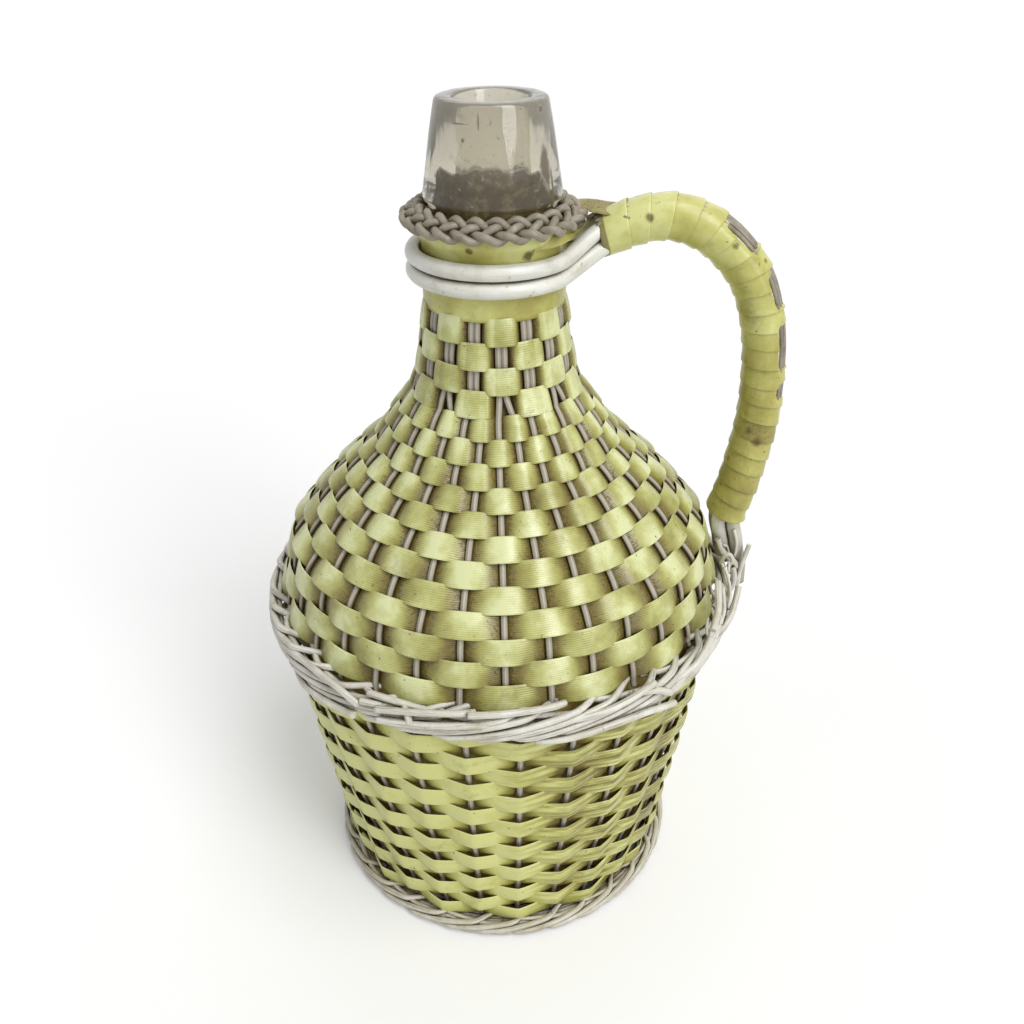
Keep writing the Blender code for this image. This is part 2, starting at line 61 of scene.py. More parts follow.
def addNode(tree, kind, settings=None):
    # settings: the node's own settings and its inputs' values. A node or a socket as a value is linked
    node = tree.nodes.new("ShaderNode" + kind)
    for key, value in (settings or {}).items():
        if hasattr(value, "outputs"):
            value = value.outputs[0]
        if key == "stops":  # a colour ramp's stops, as {place: hex colour}
            while len(node.color_ramp.elements) < len(value):
                node.color_ramp.elements.new(0.5)
            for stop, (place, shade) in zip(node.color_ramp.elements, sorted(value.items())):
                stop.position = place
                stop.color = hexColour(shade)
        elif isinstance(value, bpy.types.NodeSocket):
            tree.links.new(value, node.inputs[key])
        elif isinstance(key, str) and hasattr(node, key):
            setattr(node, key, value)
        else:
            node.inputs[key].default_value = hexColour(value) if isinstance(value, str) else value
    return node


def aroundAxis(radius, height, angle):
    turn = math.radians(angle)
    return Vector((radius * math.sin(turn), -radius * math.cos(turn), height))


def outwardOf(down):
    return Vector((-down.y, down.x)).normalized()  # of an outline that runs down the outside


def blendOf(a, b, share):
    return a + (b - a) * share


def easeOf(share):
    share = min(1, max(0, share))
    return share * share * (3 - 2 * share)


def wander(*place):
    return noise.noise(Vector((*place, 0, 0)[:3]))  # the same smooth chance value for the same place, -1 to 1


def smoothLine(points, steps):
    line = []
    for i in range(len(points) - 1):
        before, start = points[max(i - 1, 0)], points[i]
        end, after = points[i + 1], points[min(i + 2, len(points) - 1)]
        for step in range(steps):
            t = step / steps
            bend = (end - before) * t + (2 * before - 5 * start + 4 * end - after) * t * t
            line.append(0.5 * (2 * start + bend + (3 * start - before - 3 * end + after) * t**3))
    return line + [points[-1].copy()]


def lengthsOf(line):
    reached = [0.0]
    for a, b in zip(line, line[1:]):
        reached.append(reached[-1] + (b - a).length)
    return reached


def pointAt(line, reached, distance):
    i = 0
    while i < len(line) - 2 and reached[i + 1] < distance:
        i += 1
    share = (distance - reached[i]) / (reached[i + 1] - reached[i])
    return line[i].lerp(line[i + 1], share), (line[i + 1] - line[i]).normalized()


def evenLine(line, step):
    reached = lengthsOf(line)
    count = max(2, round(reached[-1] / step))
    return [pointAt(line, reached, reached[-1] * i / count)[0] for i in range(count + 1)]


def offsetLine(line, distance):
    moved = []
    for i, point in enumerate(line):
        first = outwardOf(point - line[i - 1]) if i else outwardOf(line[1] - point)
        second = outwardOf(line[i + 1] - point) if i < len(line) - 1 else first
        moved.append(point + (first + second) / (1 + first.dot(second)) * distance)
    return moved


def tubeRings(path, radius, closed=False, sides=12):
    # round sections along a path
    count = len(path)
    rings = []
    side = None
    for i, point in enumerate(path):
        ahead = path[(i + 1) % count] if closed else path[min(i + 1, count - 1)]
        behind = path[i - 1] if closed or i else path[0]
        along = (ahead - behind).normalized()
        if closed:
            side = Vector((point.x, point.y, 0))
        elif side is None:
            side = Vector((0, 1, 0)) if abs(along.y) < 0.9 else Vector((1, 0, 0))
        side = (side - along * side.dot(along)).normalized()
        up = along.cross(side)
        turns = [math.tau * k / sides for k in range(sides)]
        ring = [point + side * math.cos(turn) * radius + up * math.sin(turn) * radius for turn in turns]
        rings.append(ring)
    return rings


layShift = 0.37  # metres between the lays of two sweeps, so that their patterns differ


def makePiece(name, sweeps, material, nodes=(), closed=False):
    # a sweep is the closed sections along it in order, or these and how deep in the weave each lies, 0 to 1.
    # The lay map holds the place along and across a strip or cord in metres
    points, faces, lay, tuckValues = [], [], [], []
    for number, sweep in enumerate(sweeps):
        rings, tucks = sweep if isinstance(sweep, tuple) else (sweep, [0.0] * len(sweep))
        first, count, sides = len(points), len(rings), len(rings[0])
        across, along = [0.0], [number * layShift]
        middle = rings[count // 2]
        for a, b in zip(middle, middle[1:] + middle[:1]):
            across.append(across[-1] + (b - a).length)
        for a, b in zip(rings, [*rings[1:], rings[0]]):
            along.append(along[-1] + (b[0] - a[0]).length)
        for ring, tuck in zip(rings, tucks):
            points.extend(ring)
            tuckValues.extend([tuck] * sides)
        for i in range(count if closed else count - 1):
            here, there = first + i * sides, first + (i + 1) % count * sides
            for k in range(sides):
                m = (k + 1) % sides
                faces.append([here + k, here + m, there + m, there + k])
                lay += [along[i], across[k], along[i], across[k + 1]]
                lay += [along[i + 1], across[k + 1], along[i + 1], across[k]]
        if not closed:
            for end in (0, count - 1):
                faces.append([first + end * sides + k for k in range(sides)])
                lay += [along[end], 0.0] * sides
    mesh = bpy.data.meshes.new(name)
    mesh.from_pydata(points, [], faces)
    mesh.uv_layers.new(name="lay").data.foreach_set("uv", lay)
    mesh.attributes.new("tuck", "FLOAT", "POINT").data.foreach_set("value", tuckValues)
    shaped = bmesh.new()
    shaped.from_mesh(mesh)
    bmesh.ops.recalc_face_normals(shaped, faces=shaped.faces)
    shaped.to_mesh(mesh)
    shaped.free()
    mesh.polygons.foreach_set("use_smooth", [len(face.vertices) == 4 for face in mesh.polygons])
    mesh.materials.append(material)
    piece = bpy.data.objects.new(name, mesh)
    bpy.context.scene.collection.objects.link(piece)
    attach(piece, "root")
    if nodes:
        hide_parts(*nodes)


def inMetres(points):
    return [Vector(point) * mm for point in points]


def verticesOf(node):
    return [vertex.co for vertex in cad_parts[node].data.vertices]


def rowEnds(node):
    # the upper and the lower edge of a woven row of the frame, midway between its bends
    spots = sorted((spot.z, math.hypot(spot.x, spot.y)) for spot in verticesOf(node))
    half = len(spots) // 2
    ends = []
    for group in (spots[half:], spots[:half]):
        ends.append(Vector((sum(r for z, r in group), sum(z for z, r in group))) / len(group))
    return ends


def heightsOf(node):
    heights = [spot.z for spot in verticesOf(node)]
    return min(heights), max(heights)


def radiusOf(node):
    return max(math.hypot(spot.x, spot.y) for spot in verticesOf(node))


# Materials

def nodeAdder(owner):
    # the function that adds a node to the emptied tree of a material or the world
    owner.use_nodes = True
    owner.node_tree.nodes.clear()
    return partial(addNode, owner.node_tree)


def newMaterial(name):
    material = bpy.data.materials.new(name)
    return material, nodeAdder(material)


def finishMaterial(add, settings):
    add("OutputMaterial", {"Surface": add("BsdfPrincipled", settings)})


stripLook = {
    # colour from a brick's crown to where it dips: the crown clean and pale, darker towards the dip with dust
    # and painted shade
    "upperTones": {0.10: "#D4D8A2", 0.26: "#BBBD78", 0.46: "#9F9D55", 0.72: "#766A33"},
    "lowerTones": {0.20: "#CDCE82", 0.45: "#BBBA66", 0.70: "#A5A04E", 0.95: "#7F7334"},
    "handleTones": {0.18: "#D0D18A", 0.36: "#BDBB6A", 0.56: "#A8A253", 0.85: "#807436"},
    "edge": "#DDDDAC",
    "groove": "#7C713A",
    "dirtAndShade": "#57481F",
    "speck": "#574720",
    "ribSpacing": 0.9 * mm,
    "edgeWidth": 0.4 * mm,
    "roughness": 0.27,
    "anisotropy": 0.7,  # the ribs spread a highlight across the strip
    # the handled flank of the lower basket: its direction, and how far out it starts and is full
    "flankSide": aroundAxis(1, 0, 48),
    "flankReach": (62 * mm, 92 * mm),
}


def stripMaterial(name, tones, ribs, dirtiness, stains=(), flank=0.0, seam=None):
    # Polypropylene strip, extruded with fine ribs and woven: a satin olive yellow with soft wide highlights,
    # brown dust and painted shade where it dips under the stakes and in crevices, speckled and thicker in the
    # grooves, and a paler top edge, worn and with a painted highlight
    look = stripLook
    material, add = newMaterial(name)
    lay = add("UVMap", {"uv_map": "lay"})
    place = add("TexCoord").outputs["Object"]
    parts = add("SeparateXYZ", {0: lay})
    tuck = add("Attribute", {"attribute_name": "tuck"})
    tone = add("TexNoise", {"Vector": place, "Scale": 48, "Detail": 4, "Roughness": 0.6})
    # soil: how near the strip is to where it dips, a little uneven; the tones darken with it, from dust and
    # painted shade
    shade = add("Math", {"operation": "MULTIPLY_ADD", 0: tone, 1: 1.1, 2: -0.38})
    soil = add("Math", {"operation": "MULTIPLY_ADD", 0: tuck.outputs["Fac"], 1: 0.85, 2: shade})
    smudge = add("TexNoise", {"Vector": place, "Scale": 50, "Detail": 6, "Roughness": 0.7})
    # the handled flank, dirtier in streaks 30 mm long and 3 mm wide
    toward = add("VectorMath", {"operation": "DOT_PRODUCT", 0: place, 1: look["flankSide"]})
    near, full = look["flankReach"]
    handled = add("MapRange", {0: toward.outputs["Value"], 1: near, 2: full, 4: flank})
    long = add("Mapping", {0: lay, "Scale": (34, 330, 1)})
    wiped = add("TexNoise", {"Vector": long, "Scale": 1, "Detail": 6, "Roughness": 0.7})
    wipes = add("MapRange", {0: wiped, 1: 0.40, 2: 0.60})
    flanked = add("Math", {"operation": "MULTIPLY", 0: handled, 1: wipes})
    soil = add("Math", {"operation": "MULTIPLY_ADD", 0: flanked, 1: 0.6, 2: soil})
    colour = add("ValToRGB", {"stops": tones, 0: soil})
    # streaks 12 mm long and half a millimetre wide, as dust lies in the ribs, and a grain of 0.6 mm
    stretch = add("Mapping", {0: lay, "Scale": (85, 1700, 1)})
    streak = add("TexNoise", {"Vector": stretch, "Scale": 1, "Detail": 4, "Roughness": 0.6})
    grain = add("TexNoise", {"Vector": place, "Scale": 900, "Detail": 4, "Roughness": 0.75})
    turns = add("Math", {"operation": "MULTIPLY", 0: parts.outputs[1], 1: math.tau / look["ribSpacing"]})
    wavy = add("Math", {"operation": "MULTIPLY_ADD", 0: tone, 1: 3.0, 2: turns})
    rib = add("Math", {"operation": "SINE", 0: wavy})
    # dust in the grooves, more of it where the strip is smudged
    groove = add("MapRange", {0: rib, 1: 0.9, 2: -0.7, 4: 0.62 * ribs})
    patchy = add("MapRange", {0: soil, 1: 0.12, 2: 0.7, 3: 0.12, 4: 1.2})
    dusted = add("Math", {"operation": "MULTIPLY", 0: groove, 1: patchy})
    ribbed = add("Mix", {"data_type": "RGBA", 0: dusted, 6: colour, 7: look["groove"]})
    # the top edge painted paler: wear and a painted highlight
    edge = add("MapRange", {
        0: parts.outputs[1], 1: look["edgeWidth"], 2: 0.4 * look["edgeWidth"], 4: 0.45})
    edged = add("Mix", {"data_type": "RGBA", 0: edge, 6: ribbed.outputs[2], 7: look["edge"]})
    # dust and painted shade, by how deep the strip lies, torn by the grain, the streaks and the grooves
    torn = add("Math", {"operation": "MULTIPLY_ADD", 0: streak, 1: 1.0, 2: -0.5})
    specks = add("Math", {"operation": "MULTIPLY_ADD", 0: grain, 1: 2.1, 2: -1.05})
    spread = add("Math", {"operation": "MULTIPLY_ADD", 0: smudge, 1: 1.0, 2: -0.5})
    depth = add("Math", {"operation": "MULTIPLY_ADD", 0: rib, 1: -0.10 * ribs, 2: torn})
    for source in (specks, spread, tuck.outputs["Fac"]):
        depth = add("Math", {"operation": "ADD", 0: source, 1: depth})
    dirtAndShade = add("MapRange", {"interpolation_type": "SMOOTHSTEP", 0: depth, 1: 0.50, 2: 1.12, 4: dirtiness})
    dirtiedAndShaded = add("Mix", {"data_type": "RGBA", 0: dirtAndShade, 6: edged.outputs[2], 7: look["dirtAndShade"]})
    # brown smudges some 20 mm wide, and specks of half a millimetre
    smudged = add("MapRange", {0: smudge, 1: 0.57, 2: 0.78, 4: 0.55})
    speck = add("TexNoise", {"Vector": place, "Scale": 420, "Detail": 2})
    specked = add("MapRange", {0: speck, 1: 0.70, 2: 0.75, 4: 0.75})
    # crevices: dust and painted shade where a spot is closed in by what stands within 2.5 mm
    shelter = add("AmbientOcclusion", {"samples": 6, "Distance": 2.5 * mm})
    closed = add("Math", {"operation": "MULTIPLY_ADD", 0: torn, 1: -1.0, 2: shelter.outputs["AO"]})
    creviceDustAndShade = add("MapRange", {"interpolation_type": "SMOOTHSTEP", 0: closed, 1: 0.55, 2: 0.1, 4: 0.75})
    flankMarks = add("Math", {"operation": "MULTIPLY", 0: flanked, 1: 0.6})
    masks = [specked, creviceDustAndShade, flankMarks]
    if seam:  # dust and a painted shadow where the next turn's edge lies on the strip
        shaken = add("Math", {"operation": "MULTIPLY_ADD", 0: smudge, 1: 1.6 * mm, 2: -0.8 * mm})
        beside = add("Math", {"operation": "ADD", 0: parts.outputs[1], 1: shaken})
        masks.append(add("MapRange", {0: beside, 1: seam + 0.3 * mm, 2: seam - 0.4 * mm, 4: 0.7}))
    for spot, radius in stains:  # in mm
        far = add("VectorMath", {"operation": "DISTANCE", 0: place, 1: [v * mm for v in spot]})
        size = radius * mm
        reach = add("Math", {"operation": "MULTIPLY_ADD", 0: smudge, 1: -2.2 * size, 2: 2.1 * size})
        inside = add("Math", {"operation": "SUBTRACT", 0: reach, 1: far.outputs["Value"]})
        masks.append(add("MapRange", {0: inside, 2: 0.5 * size, 4: 0.85}))
    # the speck colour also paints the shade in crevices and the shadow along the seam
    marks = smudged
    for mask in masks:
        marks = add("Math", {"operation": "MAXIMUM", 0: marks, 1: mask})
    marked = add("Mix", {"data_type": "RGBA", 0: marks, 6: dirtiedAndShaded.outputs[2], 7: look["speck"]})
    rough = add("MapRange", {0: dirtAndShade, 1: 0.0, 2: 1.0, 3: look["roughness"], 4: 0.8})
    relief = add("Math", {"operation": "MULTIPLY_ADD", 0: rib, 1: 0.9 * ribs, 2: streak})
    bump = add("Bump", {"Strength": 0.6, "Distance": 0.05 * mm, "Height": relief})
    tangent = add("Tangent", {"direction_type": "UV_MAP", "uv_map": "lay"})
    finishMaterial(add, {
        "IOR": 1.49, "Anisotropic": look["anisotropy"], "Anisotropic Rotation": 0.25,
        "Base Color": marked.outputs[2], "Roughness": rough, "Normal": bump, "Tangent": tangent})
    return material


def cordMaterial(name, look):
    # Soft PVC cord, extruded and handled for years: an even shell that is dull and yellowed in places,
    # with fine dirty streaks along it and brown dust and painted shade in the crevices between cords
    material, add = newMaterial(name)
    lay = add("UVMap", {"uv_map": "lay"})
    place = add("TexCoord").outputs["Object"]
    tone = add("TexNoise", {"Vector": place, "Scale": look["patches"], "Detail": 5, "Roughness": 0.62})
    colour = add("ValToRGB", {"stops": look["tones"], 0: tone})
    stretch = add("Mapping", {0: lay, "Scale": look["streakScale"]})
    streak = add("TexNoise", {"Vector": stretch, "Scale": 1, "Detail": 4, "Roughness": 0.6})
    lines = add("MapRange", {0: streak, 1: 0.52, 2: 0.68, 4: look["streaks"]})
    grain = add("TexNoise", {"Vector": place, "Scale": 700, "Detail": 4, "Roughness": 0.7})
    # crevices: dust and painted shade where a spot is closed in by what stands within 4 mm, torn by the grain
    shelter = add("AmbientOcclusion", {"samples": 6, "Distance": look["crevice"]})
    torn = add("Math", {"operation": "MULTIPLY_ADD", 0: grain, 1: 0.8, 2: -0.4})
    closed = add("Math", {"operation": "ADD", 0: shelter.outputs["AO"], 1: torn})
    creviceDustAndShade = add("MapRange", {
        "interpolation_type": "SMOOTHSTEP", 0: closed, 1: look["sheltered"][0], 2: look["sheltered"][1],
        4: look["creviceDustAndShadeAmount"]})
    speck = add("TexNoise", {"Vector": place, "Scale": 380, "Detail": 3})
    specked = add("MapRange", {0: speck, 1: 0.66, 2: 0.74, 4: look["specks"]})
    marks = add("Math", {"operation": "MAXIMUM", 0: lines, 1: specked})
    marks = add("Math", {"operation": "MAXIMUM", 0: marks, 1: creviceDustAndShade})
    if "soiledBelow" in look:  # the handle's foot, dirtier downwards in patches
        parts = add("SeparateXYZ", {0: place})
        ragged = add("Math", {"operation": "MULTIPLY_ADD", 0: tone, 1: 30 * mm, 2: parts.outputs[2]})
        low = add("MapRange", {
            0: ragged, 1: look["soiledBelow"] + 12 * mm, 2: look["soiledBelow"] - 12 * mm, 4: 0.75})
        marks = add("Math", {"operation": "MAXIMUM", 0: marks, 1: low})
    marked = add("Mix", {"data_type": "RGBA", 0: marks, 6: colour, 7: look["dirtAndShade"]})
    bump = add("Bump", {"Strength": 0.6, "Distance": look["relief"], "Height": streak})
    finishMaterial(add, {
        "IOR": 1.5, "Roughness": look["roughness"], "Base Color": marked.outputs[2], "Normal": bump})
    return material


def glassMaterial(look):
    # Bottle glass, hand finished: thick, a little wavy, tinted grey olive, with a thin dull film of dust that
    # takes a fifth of the light. Brown on the wall of the bore is a painted image of the jacket seen through
    # the glass, and all inside the jacket is dusty
    material, add = newMaterial("tintedBottleGlass")
    place = add("TexCoord").outputs["Object"]
    parts = add("SeparateXYZ", {0: place})
    stretch = add("Mapping", {0: place, "Scale": (1, 1, 0.25)})
    wave = add("TexNoise", {"Vector": stretch, "Scale": look["waves"], "Detail": 2})
    film = add("TexNoise", {"Vector": place, "Scale": look["film"], "Detail": 5, "Roughness": 0.7})
    dull = add("MapRange", {0: film, 1: 0.45, 2: 0.75, 3: look["roughness"], 4: look["dulled"]})
    bump = add("Bump", {"Strength": 0.6, "Distance": look["relief"], "Height": wave})
    # painted image of the jacket seen through the glass, on the bore: inside a radius of 19 mm, below an
    # uneven line
    flat = add("VectorMath", {"operation": "MULTIPLY", 0: place, 1: (1, 1, 0)})
    radius = add("VectorMath", {"operation": "LENGTH", 0: flat})
    inner = add("MapRange", {0: radius.outputs["Value"], 1: 19 * mm, 2: 18 * mm})
    level = add("VectorMath", {"operation": "DOT_PRODUCT", 0: place, 1: look["boreTilt"]})
    line = add("Math", {
        "operation": "MULTIPLY_ADD", 0: wave, 1: look["boreImageSwing"], 2: level.outputs["Value"]})
    low = add("MapRange", {0: line, 1: look["boreImageTop"] + 0.7 * mm, 2: look["boreImageTop"] - 0.7 * mm})
    boreImage = add("Math", {"operation": "MULTIPLY", 0: inner, 1: low})
    buried = add("MapRange", {0: parts.outputs[2], 1: look["dustTop"], 2: look["dustTop"] - 4 * mm})
    dustAndBoreImage = add("Math", {"operation": "MAXIMUM", 0: boreImage, 1: buried})
    # the film is thinner low on the finish
    wiped = add("MapRange", {
        0: parts.outputs[2], 1: look["filmFrom"], 2: look["filmFrom"] + 9 * mm, 3: 0.95,
        4: look["clearness"]})
    bare = add("Math", {"operation": "SUBTRACT", 0: 1.0, 1: dustAndBoreImage})
    clear = add("Math", {"operation": "MULTIPLY", 0: wiped, 1: bare})
    bore = add("ValToRGB", {"stops": look["boreTones"], 0: film})
    rough = add("Math", {"operation": "MAXIMUM", 0: dull, 1: dustAndBoreImage})
    # colour of the painted image of the jacket on the bore, and of the dust inside the jacket
    soil = add("Mix", {"data_type": "RGBA", 0: buried, 6: bore, 7: look["dust"]})
    tint = add("Mix", {"data_type": "RGBA", 0: dustAndBoreImage, 6: look["tint"], 7: soil.outputs[2]})
    # marks in the glass: a crack, a scratch, bubbles and a rusty patch, each an ellipsoid in space
    grit = add("TexNoise", {"Vector": place, "Scale": 480, "Detail": 3})
    marks = add("MapRange", {0: grit, 1: 0.66, 2: 0.73, 4: 0.6})
    for spot, size in look["marks"]:
        away = add("VectorMath", {"operation": "SUBTRACT", 0: place, 1: [v * mm for v in spot]})
        scaled = add("VectorMath", {"operation": "DIVIDE", 0: away, 1: [v * mm for v in size]})
        reach = add("VectorMath", {"operation": "LENGTH", 0: scaled})
        torn = add("Math", {"operation": "MULTIPLY_ADD", 0: film, 1: 1.6, 2: reach.outputs["Value"]})
        mark = add("MapRange", {0: torn, 1: 1.9, 2: 1.5, 4: 0.9})
        marks = add("Math", {"operation": "MAXIMUM", 0: marks, 1: mark})
    marked = add("Mix", {"data_type": "RGBA", 0: marks, 6: tint.outputs[2], 7: look["markBrown"]})
    unmarked = add("Math", {"operation": "SUBTRACT", 0: 1.0, 1: marks})
    through = add("Math", {"operation": "MULTIPLY", 0: clear, 1: unmarked})
    shader = add("BsdfPrincipled", {
        "IOR": 1.5, "Base Color": marked.outputs[2], "Roughness": rough, "Normal": bump,
        "Transmission Weight": through})
    depth = add("VolumeAbsorption", {"Color": look["depthColour"], "Density": look["depth"]})
    add("OutputMaterial", {"Surface": shader, "Volume": depth})
    return material


# Camera, where the photograph was taken from

view = {
    "place": (6.44 * mm, -410.4 * mm, 449.0 * mm),
    "down": 31.57,
    "roll": -0.557,
    "lens": 35.23,
    "sensor": 36.0,
}


def makeCamera():
    data = bpy.data.cameras.new("photoView")
    data.sensor_width = view["sensor"]
    data.lens = view["lens"]
    data.clip_start = 0.01
    camera = bpy.data.objects.new("photoView", data)
    bpy.context.scene.collection.objects.link(camera)
    pitch = Matrix.Rotation(math.radians(90 - view["down"]), 4, "X")
    roll = Matrix.Rotation(math.radians(view["roll"]), 4, "Z")
    camera.matrix_world = Matrix.Translation(view["place"]) @ pitch @ roll
    bpy.context.scene.camera = camera


makeCamera()
print("camera set")

strip = {
    "thickness": 0.6 * mm,
    "crown": 0.25 * mm,
    "steps": 14,  # from stake to stake
    "uneven": 0.3 * mm,
    "unevenLift": 0.16,
    "unevenLean": 0.25 * mm,
    "soilAndShadeLead": 1.3 * mm,  # a brick is as dark, with dust and painted shade, this far before it meets its stake as at the stake
    "pairedSoilAndShade": 0.08,
    "pairedFullness": 0.12,
    "rumpledAngle": 45,
    "rumpledReach": 32,
    "lowestSag": 2.2 * mm,  # how far the last row stands out
}

# shown and tucked: width over the row's run, where a strip lies over a stake or under it. out and in: how
# far it stands out and dips. bulge: how full a brick stands before it dips, 1 is straight. soilAndShadeRate:
# how quickly it gets darker towards its stake, with dust and painted shade, 1 is evenly. rumple: of the
# handled flank
upperShape = {
    "shown": 1.20, "tucked": 1.10, "out": 2.3 * mm, "in": 1.9 * mm, "bulge": 2.2,
    "soilAndShadeRate": 2.3, "lean": 0.5 * mm, "rumple": 0.0, "sag": 0.0,
}
pairedShape = {**upperShape, "bulge": 3.8, "soilAndShadeRate": 4.5}
lowerShape = {
    "shown": 1.25, "tucked": 1.22, "out": 2.7 * mm, "in": 1.7 * mm, "bulge": 1.1,
    "soilAndShadeRate": 3.2, "lean": 0.2 * mm, "rumple": 1.0 * mm,
}

# a strip's section, outer face first: (share of the width, share of the thickness)
stripSection = [
    (-0.5, 0), (-0.485, 0.42), (-0.44, 0.5), (-0.22, 0.5), (0, 0.5), (0.22, 0.5),
    (0.44, 0.5), (0.485, 0.42), (0.5, 0), (0.47, -0.5), (0, -0.5), (-0.47, -0.5),
]

jacket = {
    "rows": 16,
    "upperStakes": 34,
    "upperTurn": 1.8,  # degrees from the front to the first stake
    "lowerStakes": 28,
    "lowerTurn": -7.8,
    "pairedRows": 4,
    "pairSpacing": 2.5 * mm,
    "pairPad": 1.2 * mm,  # room beside a pair
    "pairTurn": -2.0,
    "pairLoose": 0.45,  # how far the pairs are apart at their last row, 1 is evenly
    "splitRow": 2.9,
    "splitLength": 1.5,
    "stakeWidth": 2.65 * mm,
    "stakeThickness": 1.3 * mm,
    "stakeRidge": 0.3 * mm,
    "stakeSway": 0.45 * mm,
    "stakeSteps": 6,
    "flare": 2 * mm,
    "flareDrop": 4 * mm,
    "neckDrop": 8.5 * mm,
    "stakeTail": 0.4,  # rows that the upper stakes run on for, behind the waist border
    "binding": [(1.0, -0.2), (1.0, -3), (-0.8, -3), (-0.8, -0.2)],  # section from the flare, mm
    "bindingSteps": 96,
    "waistIn": 0.9 * mm,
    "heelIn": 2.4 * mm,
    "heelGap": 0.1 * mm,
    "heelAbove": (-0.6, -5.5),  # from the last row's edge, mm
    "heelBend": [(-1.5, 0.4), (-10, 0)],  # from the heel, mm
    "underRadii": (50, 34, 20, 8, 3),
}

upperRows = [rowEnds(f"upper_weave_{row + 1:02d}") for row in range(jacket["rows"])]
lowerRows = [rowEnds(f"lower_weave_{row + 1:02d}") for row in range(jacket["rows"])]


def edgesOf(rows):
    return [rows[0][0], *[(above[1] + below[0]) / 2 for above, below in zip(rows, rows[1:])], rows[-1][1]]


def pairSide(stake):
    # 1 and -1 by turns for the pairs. Their number is odd, so two alike are neighbours once, at the back
    pair = stake // 2
    return -1 if (pair + (pair > jacket["upperStakes"] // 4)) % 2 == 0 else 1


def upperAngle(stake, radius, spread):
    step = 360 / jacket["upperStakes"]
    even = jacket["upperTurn"] + stake * step
    drawn = jacket["upperTurn"] + jacket["pairTurn"] + (stake // 2 * 2 + 0.5) * step
    drawn += (1 if stake % 2 else -1) * math.degrees(jacket["pairSpacing"] / 2 / radius)
    return blendOf(drawn, even, spread)


def upperStations(number, radius):
    # the angle of each stake where a row passes, and whether the strip is over it (1) or under it (-1)
    stakes = range(jacket["upperStakes"])
    if number > jacket["pairedRows"]:
        return [(upperAngle(stake, radius, 1.0), 1 if (stake + number) % 2 == 0 else -1) for stake in stakes]
    spread = jacket["pairLoose"] if number == jacket["pairedRows"] else 0.0
    stations = []
    for stake in stakes:
        pad = math.degrees(jacket["pairPad"] / radius) * (1 if stake % 2 else -1)
        over = pairSide(stake) * (1 if number % 2 == 0 else -1)
        stations.append((upperAngle(stake, radius, spread) + pad, over))
    return stations


def lowerStations(number):
    count = jacket["lowerStakes"]
    return [(jacket["lowerTurn"] + k * 360 / count, 1 if (k + number) % 2 else -1) for k in range(count)]


def rowRings(ends, stations, shape, seed):
    top, bottom = ends
    run = (bottom - top).length
    down = (bottom - top).normalized()
    out = outwardOf(down)
    middle = (top + bottom) / 2
    rings, tucks = [], []
    first = (stations[0][0] + 360, stations[0][1])
    for (angle, over), (nextAngle, nextOver) in zip(stations, [*stations[1:], first]):
        gap = math.radians(nextAngle - angle) * middle.x
        for step in range(strip["steps"]):
            share = step / strip["steps"]
            turn = blendOf(angle, nextAngle, share)
            place = aroundAxis(3, seed, turn)
            # soil: how dark the strip is painted here, with dust and painted shade, most where it dips under
            # a stake
            if over == nextOver:
                swing = over * (1 + strip["pairedFullness"] * math.sin(math.pi * share))
                soil = strip["pairedSoilAndShade"] if over > 0 else 1.0
            else:
                fall = share if over > 0 else 1 - share
                swing = 1 - 2 * fall ** shape["bulge"]
                soil = (fall + strip["soilAndShadeLead"] / gap) ** shape["soilAndShadeRate"]
            lift = swing * shape["out" if swing > 0 else "in"] * (1 + strip["unevenLift"] * wander(*place))
            width = run * blendOf(shape["tucked"], shape["shown"], (swing + 1) / 2)
            nudge = strip["uneven"] * wander(place.x, place.y + 9, place.z)
            aside = (turn - strip["rumpledAngle"]) / strip["rumpledReach"]
            creased = shape["rumple"] * max(0.0, 1 - aside ** 2)
            lean = shape["lean"] * (swing + 1) / 2 + creased * wander(place.x * 3, place.y * 3, place.z * 3)
            lean += strip["unevenLean"] * wander(place.x + 5, place.y, place.z)
            nudge += 0.7 * creased * wander(place.x * 2, place.y * 2 + 4, place.z * 2)
            ring = []
            for across, depth in stripSection:
                rise = lift + shape["sag"] + depth * strip["thickness"] + lean * across
                rise += strip["crown"] * (1 - 4 * across * across)
                spot = middle + down * (across * width + nudge) + out * rise
                ring.append(aroundAxis(spot.x, spot.y, turn))
            rings.append(ring)
            tucks.append(min(1.0, soil))
    return rings, tucks


def makeWeave():
    upperStrip = stripMaterial("ribbedPolypropyleneStrip", stripLook["upperTones"], 1.0, 0.9)
    lowerStrip = stripMaterial("plainPolypropyleneStrip", stripLook["lowerTones"], 0.06, 0.6, flank=1.0)
    for number, upper, lower in zip(range(1, jacket["rows"] + 1), upperRows, lowerRows):
        label = f"{number:02d}"
        shape = pairedShape if number <= jacket["pairedRows"] else upperShape
        sweep = rowRings(upper, upperStations(number, (upper[0].x + upper[1].x) / 2), shape, number)
        makePiece("upperRow" + label, [sweep], upperStrip, ["upper_weave_" + label], closed=True)
        shape = {**lowerShape, "sag": strip["lowestSag"] * (number / jacket["rows"]) ** 2}
        sweep = rowRings(lower, lowerStations(number), shape, number + 40)
        makePiece("lowerRow" + label, [sweep], lowerStrip, ["lower_weave_" + label], closed=True)
    print("woven rows made")


makeWeave()


